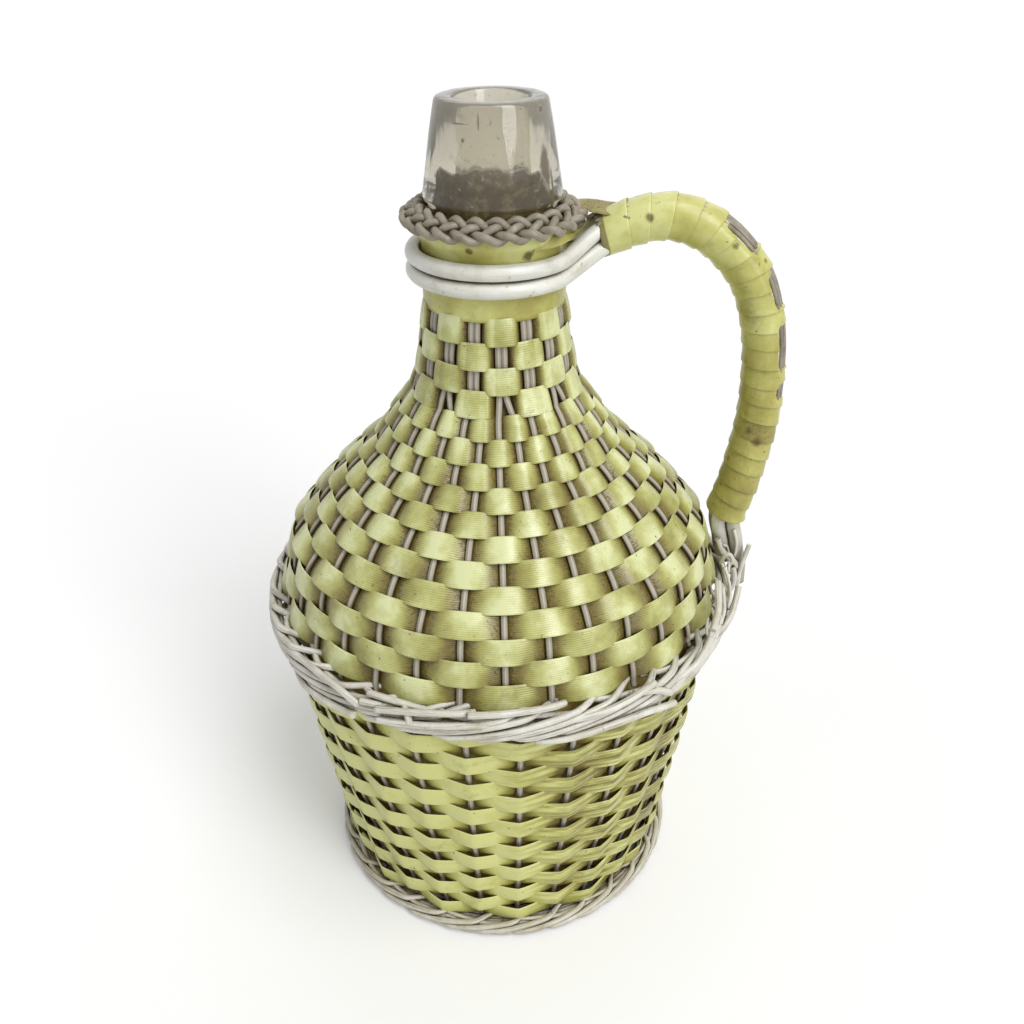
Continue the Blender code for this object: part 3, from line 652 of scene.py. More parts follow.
def stakeSection():
    # from the middle of the inner face round the outer one, as (sideways, outward)
    wide, thick, ridge = jacket["stakeWidth"] / 2, jacket["stakeThickness"] / 2, jacket["stakeRidge"]
    right = [(0.9 * wide, -thick), (wide, -0.4 * thick), (wide, 0.5 * thick), (0.85 * wide, thick)]
    right += [(0.42 * wide, thick), (0.24 * wide, thick + ridge)]
    return [(0, -thick), *right, (0, thick + 1.15 * ridge), *[(-side, out) for side, out in right[::-1]]]


def stakeRings(path):
    # path holds (outline point, outward direction, angle)
    rings = []
    for point, out, angle in path:
        sideways = aroundAxis(1, 0, angle + 90)
        ring = []
        for side, depth in stakeSection():
            spot = point + out * depth
            ring.append(aroundAxis(spot.x, spot.y, angle) + sideways * side)
        rings.append(ring)
    return rings


def stakeMaterial():
    # Grey extruded profile with a rounded middle ridge: satin, the ridge rubbed paler, dust along both sides
    material, add = newMaterial("greyExtrudedStake")
    lay = add("UVMap", {"uv_map": "lay"})
    place = add("TexCoord")
    parts = add("SeparateXYZ", {0: lay})
    section = [Vector(point) for point in stakeSection()]
    girth = sum((b - a).length for a, b in zip(section, section[1:] + section[:1]))
    aside = add("Math", {"operation": "SUBTRACT", 0: parts.outputs[1], 1: girth / 2})
    away = add("Math", {"operation": "ABSOLUTE", 0: aside})
    tone = add("TexNoise", {
        "Vector": place.outputs["Object"], "Scale": 160, "Detail": 5, "Roughness": 0.65})
    soiled = add("Math", {"operation": "MULTIPLY_ADD", 0: tone, 1: 0.9 * mm, 2: -0.45 * mm})
    reach = add("Math", {"operation": "ADD", 0: away, 1: soiled})
    spread = add("MapRange", {0: reach, 1: 0.0, 2: 2.0 * mm})
    colour = add("ValToRGB", {
        "stops": {0.0: "#B4AFA1", 0.25: "#A39C8D", 0.62: "#968E7E", 0.9: "#5F5238"}, 0: spread})
    bump = add("Bump", {"Strength": 0.4, "Distance": 0.05 * mm, "Height": tone})
    finishMaterial(add, {"IOR": 1.5, "Roughness": 0.55, "Base Color": colour, "Normal": bump})
    return material


def swayingPath(line, angleAt, sideAt, firstRow):
    # line holds outline points one row apart; the stake bows out where the strip passes under it
    path = []
    steps = jacket["stakeSteps"]
    for i in range((len(line) - 1) * steps + 1):
        row = i / steps
        whole = min(int(row), len(line) - 2)
        point = line[whole].lerp(line[whole + 1], row - whole)
        behind = line[max(whole - 1, 0)] if row - whole < 0.5 else line[whole]
        ahead = line[whole + 1] if row - whole < 0.5 else line[min(whole + 2, len(line) - 1)]
        out = outwardOf(ahead - behind)
        woven = row - firstRow
        sway = sideAt(woven) * jacket["stakeSway"] * math.sin(math.pi * woven) if woven > 0 else 0.0
        path.append((point + out * sway, out, angleAt(woven, point.x)))
    return path


def makeStakes():
    material = stakeMaterial()
    high = heightsOf("upper_stakes")[1]
    edges = edgesOf(upperRows)
    neckTop = Vector((edges[0].x, high - jacket["neckDrop"]))
    flare = Vector((edges[0].x + jacket["flare"], high - jacket["flareDrop"]))
    tail = edges[-1] + (edges[-1] - edges[-2]) * jacket["stakeTail"]
    line = [Vector((flare.x, high)), flare, neckTop, *edges, tail]
    sweeps = []
    split, length = jacket["splitRow"], jacket["splitLength"]
    for stake in range(jacket["upperStakes"]):
        single = 1 if stake % 2 == 0 else -1
        path = swayingPath(
            line,
            lambda row, radius: upperAngle(stake, radius, easeOf((row - split) / length)),
            lambda row: pairSide(stake) if row < jacket["pairedRows"] else single,
            3,
        )
        sweeps.append(stakeRings(path))
    # the binding that holds the stakes' ends together at the collar
    binding = [Vector((flare.x + side * mm, high + rise * mm)) for side, rise in jacket["binding"]]
    turns = [360 * i / jacket["bindingSteps"] for i in range(jacket["bindingSteps"] + 1)]
    sweeps.append([[aroundAxis(spot.x, spot.y, turn) for spot in binding] for turn in turns])
    makePiece("upperStakes", sweeps, material, ["upper_stakes"])

    low, high = heightsOf("lower_stakes")
    edges = edgesOf(lowerRows)
    heel = Vector((edges[-1].x - jacket["heelIn"], low + jacket["stakeThickness"] / 2 + jacket["heelGap"]))
    bend = [heel + spot for spot in inMetres(jacket["heelBend"])]
    turn = [edges[-1] + Vector(jacket["heelAbove"]) * mm, *bend]
    under = [Vector((radius * mm, heel.y)) for radius in jacket["underRadii"]]
    line = [Vector((radiusOf("lower_stakes") - jacket["waistIn"], high)), *edges, *turn, *under]
    sweeps = []
    for stake in range(jacket["lowerStakes"]):
        side = -1 if stake % 2 == 0 else 1
        path = swayingPath(
            line,
            lambda row, radius: jacket["lowerTurn"] + stake * 360 / jacket["lowerStakes"],
            lambda row: side if row < jacket["rows"] else 0,
            1,
        )
        sweeps.append(stakeRings(path))
    makePiece("lowerStakes", sweeps, material, ["lower_stakes"])
    print("stakes made")


makeStakes()

bottle = {
    "mouth": 384.5 * mm,
    "boreRadius": 15.1 * mm,
    "rimRadius": 22.4 * mm,
    "rimRounding": 1.6 * mm,
    "finishHeight": 38.7 * mm,
    "finishSwell": 0.2 * mm,
    "footRadius": 28.4 * mm,
    "neckRadius": 26.0 * mm,
    "neckDepth": 16 * mm,  # below the finish
    "neckWall": 4.0 * mm,
    "bodyWall": 3.5 * mm,
    "jacketRoom": 2.9 * mm,
    "heel": [(-3, 2.5), (-9, 0)],  # from the body's radius and the base, mm
    "punt": [(40, 0), (20, 5), (0.4, 7)],  # (radius, height over the base), mm
    "sides": 128,
    "waviness": 0.12 * mm,
}

glassLook = {
    "tint": "#D8D3C2",
    "clearness": 0.80,
    "depthColour": "#A89E7C",
    "depth": 6.5,  # absorption per metre
    "dust": "#D2B867",
    "dustTop": 336 * mm,
    # colours of the painted image of the jacket seen through the glass on the bore
    "boreTones": {0.36: "#4A3B20", 0.52: "#62532F", 0.66: "#8F8566"},
    "filmFrom": 357 * mm,
    "boreImageTop": 360.5 * mm,
    "boreTilt": (0, 0.3, 1),  # the painted image of the jacket reaches higher on the front wall
    "boreImageSwing": 9.0 * mm,
    "markBrown": "#4C4028",
    "marks": [  # (middle, half size), mm
        ((-4.6, -22.4, 379.0), (0.35, 2.0, 3.6)),
        ((-11.5, -19.5, 377.6), (5.5, 3.0, 0.35)),
        ((18.3, -13.0, 381.3), (1.7, 1.7, 1.5)),
        ((-11.0, -21.0, 366.0), (0.8, 2.0, 7.5)),
        ((19.0, -15.5, 360.0), (4.2, 3.6, 9.5)),
        ((-17.5, -16.5, 352.0), (3.0, 3.0, 4.0)),
        ((-10.6, -21.2, 372.0), (0.9, 2.0, 1.1)),
    ],
    "waves": 110,
    "film": 170,
    "relief": 0.75 * mm,
    "roughness": 0.03,
    "dulled": 0.14,
}


def makeBottle():
    top, foot = bottle["mouth"], bottle["mouth"] - bottle["finishHeight"]
    bore, rim, rounding = bottle["boreRadius"], bottle["rimRadius"], bottle["rimRounding"]
    wide, swell, neckEnd = bottle["footRadius"], bottle["finishSwell"], foot - bottle["neckDepth"]
    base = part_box("glass_bottle")[0].z
    outside = offsetLine([*edgesOf(upperRows), *edgesOf(lowerRows)[1:]], -bottle["jacketRoom"])
    heel = [Vector((outside[-1].x + side * mm, base + rise * mm)) for side, rise in bottle["heel"]]
    shell = smoothLine([*outside, *heel], 3)
    inside = offsetLine(shell, -bottle["bodyWall"])
    finish = [
        (bore + 0.4 * rounding, top - 0.12 * rounding),
        (bore + rounding, top),
        (rim - rounding, top),
        (rim - 0.3 * rounding, top - 0.3 * rounding),
        (rim, top - rounding),
        *[(blendOf(rim, wide, share) + swell, blendOf(top, foot, share)) for share in (0.33, 0.66)],
        (wide, foot + 2.2 * mm),
        (wide - 0.3 * mm, foot + 0.8 * mm),
        (wide - 1.4 * mm, foot),
        (bottle["neckRadius"], foot - 2.4 * mm),
        (outside[0].x, neckEnd),
    ]
    under = [Vector((radius * mm, base + rise * mm)) for radius, rise in bottle["punt"]]
    wall = Vector((0, bottle["bodyWall"]))
    profile = [*[point + wall for point in under[::-1]], (inside[-1].x, base + wall.y), *inside[::-1][1:]]
    profile += [(outside[0].x - bottle["neckWall"], neckEnd), (bore + 1.4 * mm, foot - 4 * mm)]
    profile += [(bore + 0.2 * mm, foot + 3 * mm), (bore, blendOf(foot, top, 0.5)), (bore, top - rounding)]
    profile += [*finish, *shell, *under]
    rings = []
    for radius, height in profile:
        ring = []
        for k in range(bottle["sides"]):
            angle = 360 * k / bottle["sides"]
            waved = bottle["waviness"] * wander(*aroundAxis(2.2, height * 60, angle)) * min(1, radius / bore)
            ring.append(aroundAxis(radius + waved, height, angle))
        rings.append(ring)
    makePiece("glassBottle", [rings], glassMaterial(glassLook), ["glass_bottle"])
    print("glass bottle made")


makeBottle()

neck = {
    "bandThickness": 0.8 * mm,
    "bandSides": 144,
    "bandUneven": 0.35 * mm,
    "bandSoil": 0.5,  # how patchy
    # {node: (piece, soil, (radius, drop from the solid's top) of points, and of one from its foot)}, mm
    "bands": {
        "neck_band_upper": (
            "neckBandUpper", 0.18, [(31.2, 0), (31.3, 4), (29.7, 7.5), (29.2, 10)], (29.2, 0)),
        "neck_band_lower": ("neckBandLower", 0.36, [(29.2, 0), (29.4, 8)], (29.3, 1.8)),
    },
    "bandStains": [((-9, -30, 333), 1.6), ((14, -27, 330), 3.0)],  # (place, radius), mm
    "flapOut": (0.3, -0.8, 0.5),
    # the upper band's end, which leaves the neck, passes under the collar and over the cords and goes under
    # the winding, and a second end that lies on the handle's top: (soil, lower edge, upper edge), mm
    "flaps": [
        (
            0.45,
            [
                (15.5, -27.2, 331.6), (24.2, -23.5, 332.2), (31.1, -19, 334.2), (37.1, -15, 339.7),
                (42.4, -11, 344.2)],
            [(17.5, -25.5, 336.2), (25.5, -20.5, 336.2), (34, -14, 336.4), (39.5, -10, 340.5), (45, -7, 346)],
        ),
        (
            0.7,
            [(32, 1.5, 341), (37, -2.5, 340.6), (42, -5, 340.2), (47, -5.8, 339.6), (52, -5.8, 339.6)],
            [(33, 10.5, 341.8), (37, 9, 342.6), (42, 7, 342.8), (47, 6, 342.2), (52, 5.5, 341.8)],
        ),
    ],
    "plaitStitches": 24,
    "plaitStrands": 4,
    "plaitCord": 3.2 * mm,
    "plaitHalfWidth": 4.1 * mm,
    "plaitHalfDepth": 1.5 * mm,
    "plaitTilt": 36,
    "plaitFullness": 0.06,  # how square the strands turn at the edges
    "plaitUneven": 0.2,
    "plaitSteps": 20,
}

plaitLook = {
    "patches": 150,
    "tones": {0.25: "#625A49", 0.45: "#857D6C", 0.7: "#9E9788"},
    "dirtAndShade": "#4A3F2C",
    "streakScale": (60, 900, 1),
    "streaks": 0.25,
    "specks": 0.5,
    "relief": 0.1 * mm,
    "roughness": 0.45,
    "crevice": 3.0 * mm,
    "sheltered": (0.62, 0.18),
    "creviceDustAndShadeAmount": 0.8,
}


def makeBands():
    material = stripMaterial(
        "neckPolypropyleneStrip", stripLook["handleTones"], 0.15, 0.8, stains=neck["bandStains"])
    thick, count = neck["bandThickness"], neck["bandSides"]
    for node, (name, soil, points, (footRadius, footDrop)) in neck["bands"].items():
        low, high = heightsOf(node)
        outline = [Vector((radius * mm, high - drop * mm)) for radius, drop in points]
        line = smoothLine([*outline, Vector((footRadius * mm, low - footDrop * mm))], 4)
        rings, tucks = [], []
        for i in range(count):
            angle = 360 * i / count
            tucks.append(soil + neck["bandSoil"] * wander(*aroundAxis(1.5, line[0].y * 50, angle)))
            ease = neck["bandUneven"] * wander(*aroundAxis(2, line[0].y * 30, angle))
            outer = [aroundAxis(spot.x + thick + ease, spot.y, angle) for spot in line]
            rings.append(outer + [aroundAxis(spot.x + ease, spot.y, angle) for spot in line[::-1]])
        makePiece(name, [(rings, tucks)], material, [node], closed=True)

    sweeps = []
    for soil, *edges in neck["flaps"]:
        lower, upper = [smoothLine(inMetres(edge), 6) for edge in edges]
        rings = []
        for low, high in zip(lower, upper):
            out = Vector(neck["flapOut"]) * thick
            rings.append([low.lerp(high, across + 0.5) + out * depth for across, depth in stripSection])
        sweeps.append((rings, [soil] * len(rings)))
    makePiece("neckFlaps", sweeps, material)
    print("neck bands made")


makeBands()


def makePlait():
    # a flat plait of four cords laid round under the finish
    spots = [v.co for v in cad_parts["plait_collar"].data.vertices]
    radius = sum(math.hypot(spot.x, spot.y) for spot in spots) / len(spots)
    height = sum(spot.z for spot in spots) / len(spots)
    tilt = math.radians(neck["plaitTilt"])
    across = Vector((math.cos(tilt), -math.sin(tilt)))
    up = Vector((math.sin(tilt), math.cos(tilt)))
    strands = neck["plaitStrands"]
    cycles = neck["plaitStitches"] // strands
    count = neck["plaitStitches"] * neck["plaitSteps"]
    sweeps = []
    for strand in range(strands):
        path = []
        for i in range(count):
            lap = math.tau * (cycles * i / count + strand / strands)
            side = math.cos(lap) + neck["plaitFullness"] * math.cos(3 * lap)
            deep = neck["plaitHalfDepth"] * (1 + neck["plaitUneven"] * wander(i * 0.05, strand))
            spot = Vector((radius, height)) + across * side * neck["plaitHalfWidth"]
            spot -= up * math.sin(3 * lap) * deep
            path.append(aroundAxis(spot.x, spot.y, 360 * i / count))
        sweeps.append(tubeRings(path, neck["plaitCord"] / 2, closed=True, sides=10))
    material = cordMaterial("weatheredPlaitCord", plaitLook)
    makePiece("plaitCollar", sweeps, material, ["plait_collar"], closed=True)
    print("plait made")


makePlait()

borders = {
    "uneven": 0.5 * mm,
    "unevenPlace": 1 / 6,  # as a share of the way to the next cord
    "unevenLength": 0.16,
    "unevenCord": 0.06,
    "cordStep": 1.5,  # degrees
    "lateRise": 0.15,  # how slowly a cord starts and ends its rise, 0 is evenly
    "comesOut": (0.16, 0.7),  # over this share of its length, from how deep in dives
    "goesIn": (0.22, 1.3),
    "goesDown": 0.35,
    "innerDepth": 0.95,  # of a cord
    "innerRise": 0.35,  # how much nearer to the crest its ends are
    "innerSpan": 1.1,
    "innerDive": 0.9,
    # in a section a cord comes out at the first point, passes by the second and goes in at the last:
    # (radius, height), mm. span is in degrees, dive is how far in the cord's ends lie, fill is rounds inside
    "waist": {
        "count": 40, "span": 43, "cord": 3.05 * mm, "dive": 6.0 * mm, "seed": 0.0, "fill": [],
        "section": [(110.2, 154.2), (113.4, 161.0), (109.0, 168.8)],
    },
    "base": {
        "count": 30, "span": 33, "cord": 2.7 * mm, "dive": 4.6 * mm, "seed": 7.0,
        "section": [(90.0, 2.6), (91.2, 6.2), (87.0, 8.6)],
        "fill": [(87.0, 5.6), (84.8, 4.8), (82.6, 4.0), (80.4, 5.4), (78.2, 6.8), (77.0, 4.4)],
    },
    "footTwists": 18,
    "footSteps": 480,
    "footMiddle": (2.4 * mm, 1.95 * mm),  # of the lowest round, in from its solid's face and up
    "footLay": (1.0 * mm, 0.6 * mm),
    "footCord": 1.35 * mm,
    "footStrands": [  # loose strands at the handle's foot, as thickness and points in mm
        (1.7, (112.3, -7.5, 190.5), (114.2, -7.8, 184), (114.6, -7.2, 178), (113.7, -6.5, 172)),
        (3, (104.8, -8.5, 186), (107.9, -9, 178.9), (112.8, -9, 174), (117, -7.5, 167), (117.2, -6.5, 157)),
        (
            2.2, (107.6, -9.5, 172), (108.6, -10, 176.6), (111, -10.2, 177.8), (112.6, -10, 174.6),
            (111.4, -9.5, 170.4)),
        (2.3, (116.4, -8, 162), (117, -9, 166), (117.9, -9.5, 172), (119.3, -9, 178), (120.4, -8.5, 182.3)),
        (3.2, (113.6, -9, 170), (114.6, -9.6, 165), (114, -9.6, 158), (110, -9, 150)),
    ],
    "cutEnds": [  # cords of the waist border that end in the open: (angle, radius, height) in degrees and mm
        [
            (-66, 108, 160.5), (-56.5, 110.6, 163.5), (-42.4, 112.2, 167.6), (-36.6, 113.6, 168),
            (-30.3, 115, 165.3)],
        [(-58, 109, 150.5), (-50, 112.4, 153), (-41.8, 113.8, 155.6), (-31.8, 115, 157.8)],
        [(-29.1, 110.6, 169.4), (-22.4, 110.6, 169.8), (-16.9, 108.5, 166.9), (-13, 105.5, 164)],
        [(-30.2, 113.4, 166.2), (-26.3, 112, 166.4), (-20, 109, 165)],
        [(-26.1, 114.4, 165.8), (-16.2, 113.2, 169.1), (-8.6, 111.2, 169.6), (-5, 108, 168)],
        [(-25.9, 115, 160.8), (-16, 114.8, 164), (-6.6, 113, 165), (2, 109, 163)],
        [(-20.2, 110.5, 168.5), (-18.8, 113.4, 166), (-18.2, 115, 163.6)],
        [(-6.2, 112.2, 169.9), (1.7, 111, 170.1), (10.5, 109, 169.6), (15, 106, 168)],
        [(14, 110.5, 162), (22, 113, 164.6), (28, 114, 167.4), (35, 114, 170.5)],
        [
            (8, 109.5, 152.6), (14, 112.6, 154.4), (20.8, 114.2, 156.8), (30.8, 115, 157.6),
            (40.9, 115.4, 153.6)],
        [(66, 108, 186), (60.1, 112, 182.7), (57, 113.8, 180), (53.9, 115, 177.2)],
        [(42, 110, 160), (48, 113.6, 163.8), (51.5, 114.6, 169.2), (54.1, 114.6, 173.2)],
        [(30, 112, 168), (35, 114.6, 166.6), (39.1, 115.6, 161.6)],
        [(60, 111, 160), (67.5, 114.4, 164.1), (73, 115.4, 167.1), (75.5, 116, 172.7)],
    ],
}

frays = {  # short loose ends below the handle's foot, in degrees and mm
    "count": 10,
    "arc": (54, 36),  # from and over
    "arcUneven": 6,
    "height": (164, 11),  # of the lower end, and how uneven
    "rise": (11, 11),
    "slant": (5, 12),
    "kink": 5,
    "radius": (112.0, 1.6),
    "endDepth": 3.5,
    "thickness": (0.75, 0.55),
}

borderLook = {
    "patches": 70,
    "tones": {0.22: "#A39A82", 0.42: "#C6C2B4", 0.7: "#DFDED6"},
    "dirtAndShade": "#5A4B2F",
    "streakScale": (45, 1300, 1),
    "streaks": 0.65,
    "specks": 0.6,
    "relief": 0.22 * mm,
    "roughness": 0.45,
    "crevice": 3.5 * mm,
    "sheltered": (0.70, 0.22),
    "creviceDustAndShadeAmount": 0.95,
}

baseTones = {0.22: "#8E8469", 0.42: "#B5AF9B", 0.7: "#D3D1C6"}
baseLook = {**borderLook, "tones": baseTones, "sheltered": (0.84, 0.30)}


def bezierAt(points, share):
    while len(points) > 1:
        points = [a.lerp(b, share) for a, b in zip(points, points[1:])]
    return points[0]


def strokePath(section, start, span, dive, seed):
    # a border's cord comes out from behind the others at the bottom, rises slowly and goes in at the top
    path = []
    steps = round(span / borders["cordStep"])
    outShare, outDeep = borders["comesOut"]
    inShare, inDeep = borders["goesIn"]
    for i in range(steps + 1):
        share = i / steps
        angle = start + span * share
        place = aroundAxis(2.5, seed, angle)
        spot = bezierAt(inMetres(section), blendOf(share, easeOf(share), borders["lateRise"]))
        behind = easeOf((share - 1 + inShare) / inShare)
        hidden = dive * (outDeep * easeOf(1 - share / outShare) + inDeep * behind)
        out = spot.x - hidden + borders["uneven"] * wander(*place)
        height = spot.y - borders["goesDown"] * dive * behind
        height += borders["uneven"] * wander(place.z, place.x, place.y)
        path.append(aroundAxis(out, height, angle))
    return path


def makeBorderCords(name, pieces, shape, material):
    # an outer layer of cords, and an inner one that leans the other way and shows in the gaps
    count, span, section = shape["count"], shape["span"], shape["section"]
    dive, cord, seed = shape["dive"], shape["cord"], shape["seed"]
    crest = section[1][1]
    inward, rise = borders["innerDepth"] * cord / mm, borders["innerRise"]
    inner = [(radius - inward, blendOf(height, crest, rise)) for radius, height in section[::-1]]
    groups = [[] for piece in range(pieces)]
    for k in range(count):
        angle = 360 / count * (k + borders["unevenPlace"] * wander(k * 2.7, seed))
        length = span * (1 + borders["unevenLength"] * wander(k * 1.9, seed + 4))
        path = strokePath(section, angle, length, dive, seed + k * 0.31)
        thickness = cord / 2 * (1 + borders["unevenCord"] * wander(k * 3.3, seed + 8))
        groups[k % pieces].append(tubeRings(path, thickness, sides=10))
    for k in range(count // 2):
        length, deep = span * borders["innerSpan"], dive * borders["innerDive"]
        path = strokePath(inner, 720 * k / count, length, deep, seed + 30 + k * 0.4)
        groups[k % pieces].append(tubeRings(path, cord / 2, sides=8))
    for k, (radius, height) in enumerate(shape["fill"]):
        path = []
        for i in range(181):
            sway = borders["uneven"] * wander(*aroundAxis(4, k * 5.0, i * 2))
            path.append(aroundAxis(radius * mm + sway, height * mm, i * 2))
        groups[k % pieces].append(tubeRings(path, cord / 2, sides=8))
    for k, sweeps in enumerate(groups, 1):
        makePiece(f"{name}Cords{k}", sweeps, material, [f"{name}_cord_{k}"])


def unevenly(size, *place):
    middle, uneven = size
    return middle + uneven * wander(*place)


def frayPath(k):
    arc, over = frays["arc"]
    start = arc + over * k / frays["count"] + frays["arcUneven"] * wander(k * 1.7, 5.0)
    bottom = unevenly(frays["height"], k * 2.3, 1.0)
    slant, rise = unevenly(frays["slant"], k * 3.1, 2.0), unevenly(frays["rise"], k * 2.9, 9.0)
    points = []
    for share in (0, 0.35, 0.7, 1):
        angle = start + slant * share + frays["kink"] * wander(k * 1.3, share * 3)
        radius = unevenly(frays["radius"], k * 1.9, share * 2.5, 7.0) - frays["endDepth"] * share ** 2
        points.append(aroundAxis(radius * mm, (bottom + rise * share) * mm, angle))
    return smoothLine(points, 6)


def makeBorders():
    material = cordMaterial("soiledBorderCord", borderLook)
    makeBorderCords("waist", 4, borders["waist"], material)
    makeBorderCords("base", 3, borders["base"], cordMaterial("soiledBaseCord", baseLook))

    sweeps = []
    for end in borders["cutEnds"]:
        path = smoothLine([aroundAxis(radius * mm, height * mm, angle) for angle, radius, height in end], 8)
        sweeps.append(tubeRings(path, borders["waist"]["cord"] / 2, sides=12))
    thin, more = frays["thickness"]
    for k in range(frays["count"]):
        thickness = (thin + more * abs(wander(k * 4.1, 3.0))) * mm
        sweeps.append(tubeRings(frayPath(k), thickness, sides=8))
    for thickness, *spots in borders["footStrands"]:
        sweeps.append(tubeRings(smoothLine(inMetres(spots), 8), thickness / 2 * mm, sides=10))
    makePiece("waistCutEnds", sweeps, material)

    # the lowest round: two cords laid round each other, flattened where they stand on the floor
    inward, rise = borders["footMiddle"]
    middle = (radiusOf("base_foot_cord") - inward, heightsOf("base_foot_cord")[0] + rise)
    sideways, upward = borders["footLay"]
    count = borders["footSteps"]
    sweeps = []
    for strand in (0, 1):
        path = []
        for i in range(count):
            lay = math.tau * (i * borders["footTwists"] / count + strand / 2)
            radius, height = middle[0] + sideways * math.cos(lay), middle[1] + upward * math.sin(lay)
            path.append(aroundAxis(radius, height, 360 * i / count))
        sweeps.append(tubeRings(path, borders["footCord"], closed=True, sides=10))
    makePiece("footCord", sweeps, material, ["base_foot_cord"], closed=True)
    print("borders made")


makeBorders()

handle = {
    "line": [(43.9, 330.1), (60.0, 336.2), (76.0, 337.0), (93.0, 328.9), (108.0, 312.1), (115.6, 291.0),
             (118.4, 267.0), (118.0, 243.0), (113.5, 213.9), (108.8, 195.0), (111.0, 183.0), (112.4, 175.5)],
    "tail": [(117.8, 168.0), (118.2, 158.0)],
    "cord": 6.6 * mm,
    "bendSteps": 16,
    "loopSteps": 90,
    "spacing": 7.1 * mm,
    "loopDrop": 7.2 * mm,
    "leave": 5.0 * mm,
    "bend": 8.0 * mm,
    "step": 1.6 * mm,
    "turns": 22,
    "wrapStart": -5.2 * mm,
    "wrapEnd": 20.0 * mm,
    "wrapClear": (1.9 * mm, 1.0 * mm),  # kept free at the start and at the end
    "wrapWidth": 12.2 * mm,
    "wrapRadius": 9.15 * mm,
    "wrapLean": 0.55 * mm,
    "wrapSteps": 40,
    "wrapUneven": 0.05,  # in width
    "wrapBumps": 0.2 * mm,
    "wrapSoil": (0.06, 0.32, 0.3),  # at least, more towards the foot, and in patches
    "wrapSoiled": (0.25, 0.35),  # from and over, as shares of the handle
    "wrapSway": (0.9 * mm, 0.5 * mm),  # slow and quick
    "seamBeside": 0.4 * mm,
    "lacing": 2.0 * mm,
    "lacingDepth": 0.9 * mm,
    "lacingSteps": 200,
    "lacingTurns": (-0.78, -0.52, -0.26, 0.0),  # round the handle from its outside, radians
    # where the lacing shows: (middle, length), mm
    "windows": [(57.5, 13), (83.5, 12), (107.5, 17), (128.0, 4)],
    "windowDent": 2.3 * mm,
    "windowTurn": 0.35,
    "windowHalf": 0.5,
    "windowSlope": (0.2, 1.6),  # round the handle in radians, and along it in mm
    "stains": [  # (place, radius), mm
        ((62.6, -9, 339.3), 2.4), ((87.1, -8.6, 342.1), 2.4), ((98.2, -8.6, 327.9), 2),
        ((112.2, -6, 320.8), 1.9), ((109.1, -9.3, 250.4), 4), ((117.1, -8, 238.7), 3.6),
        ((112.7, -9, 243.3), 3), ((75, -9, 345), 1.2),
    ],
}

whiteLook = {
    "patches": 60,
    "tones": {0.25: "#B9B5A3", 0.45: "#D6D5CC", 0.7: "#E2E2DC"},
    "dirtAndShade": "#857A60",
    "streakScale": (25, 500, 1),
    "streaks": 0.22,
    "specks": 0.55,
    "relief": 0.05 * mm,
    "roughness": 0.32,
    "crevice": 3.0 * mm,
    "sheltered": (0.62, 0.18),
    "creviceDustAndShadeAmount": 0.7,
    "soiledBelow": 203 * mm,
}

handleLine = smoothLine(inMetres(handle["line"]), 12)
handleReached = lengthsOf(handleLine)


def besideHandle(distance, out, side):
    point, along = pointAt(handleLine, handleReached, distance)
    point = point + Vector((-along.y, along.x)) * out
    return Vector((point.x, side, point.y))


def cordPath(out, tail, loopRadius, loopHeight):
    # up from the waist, once round the neck and back down beside itself
    length = handleReached[-1]
    side = handle["spacing"] / 2
    run = length - handle["leave"]
    steps = round(run / handle["step"])
    rise = [Vector((radius * mm, -side, height * mm)) for radius, height in tail[::-1]]
    rise += [besideHandle(length - run * i / steps, out, -side) for i in range(steps + 1)]
    bend = rise[-1] + (rise[-1] - rise[-2]).normalized() * handle["bend"]
    reach = math.hypot(bend.x, bend.y)
    touch = math.degrees(math.asin(loopRadius / reach) - math.asin(side / reach))
    leave = aroundAxis(loopRadius, loopHeight, touch)
    turn = [rise[-1], bend, leave + aroundAxis(1, 0, touch + 90) * handle["bend"], leave]
    count = handle["bendSteps"]
    half = [*rise, *[bezierAt(turn, i / count) for i in range(1, count)]]
    sweep = 2 * (90 + touch)
    count = handle["loopSteps"]
    loop = [aroundAxis(loopRadius, loopHeight, touch - sweep * i / count) for i in range(count + 1)]
    back = [Vector((point.x, -point.y, point.z)) for point in half[::-1]]
    return evenLine([*half, *loop, *back], handle["step"])


def makeHandleCords():
    material = cordMaterial("whitePvcCord", whiteLook)
    radius = handle["cord"] / 2
    loopRadius = -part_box("handle_cord_outer")[0].x - radius
    upperLoop = [v.co.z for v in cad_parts["handle_cord_outer"].data.vertices if v.co.x < 0]
    loopHeight = (min(upperLoop) + max(upperLoop)) / 2
    paths = {
        "outer": cordPath(handle["spacing"] / 2, handle["tail"], loopRadius, loopHeight),
        "inner": cordPath(-handle["spacing"] / 2, [], loopRadius, loopHeight - handle["loopDrop"]),
    }
    for name, path in paths.items():
        rings = tubeRings(path, radius, sides=16)
        makePiece("handleCord" + name.title(), [rings], material, ["handle_cord_" + name])
    print("handle cords made")


makeHandleCords()


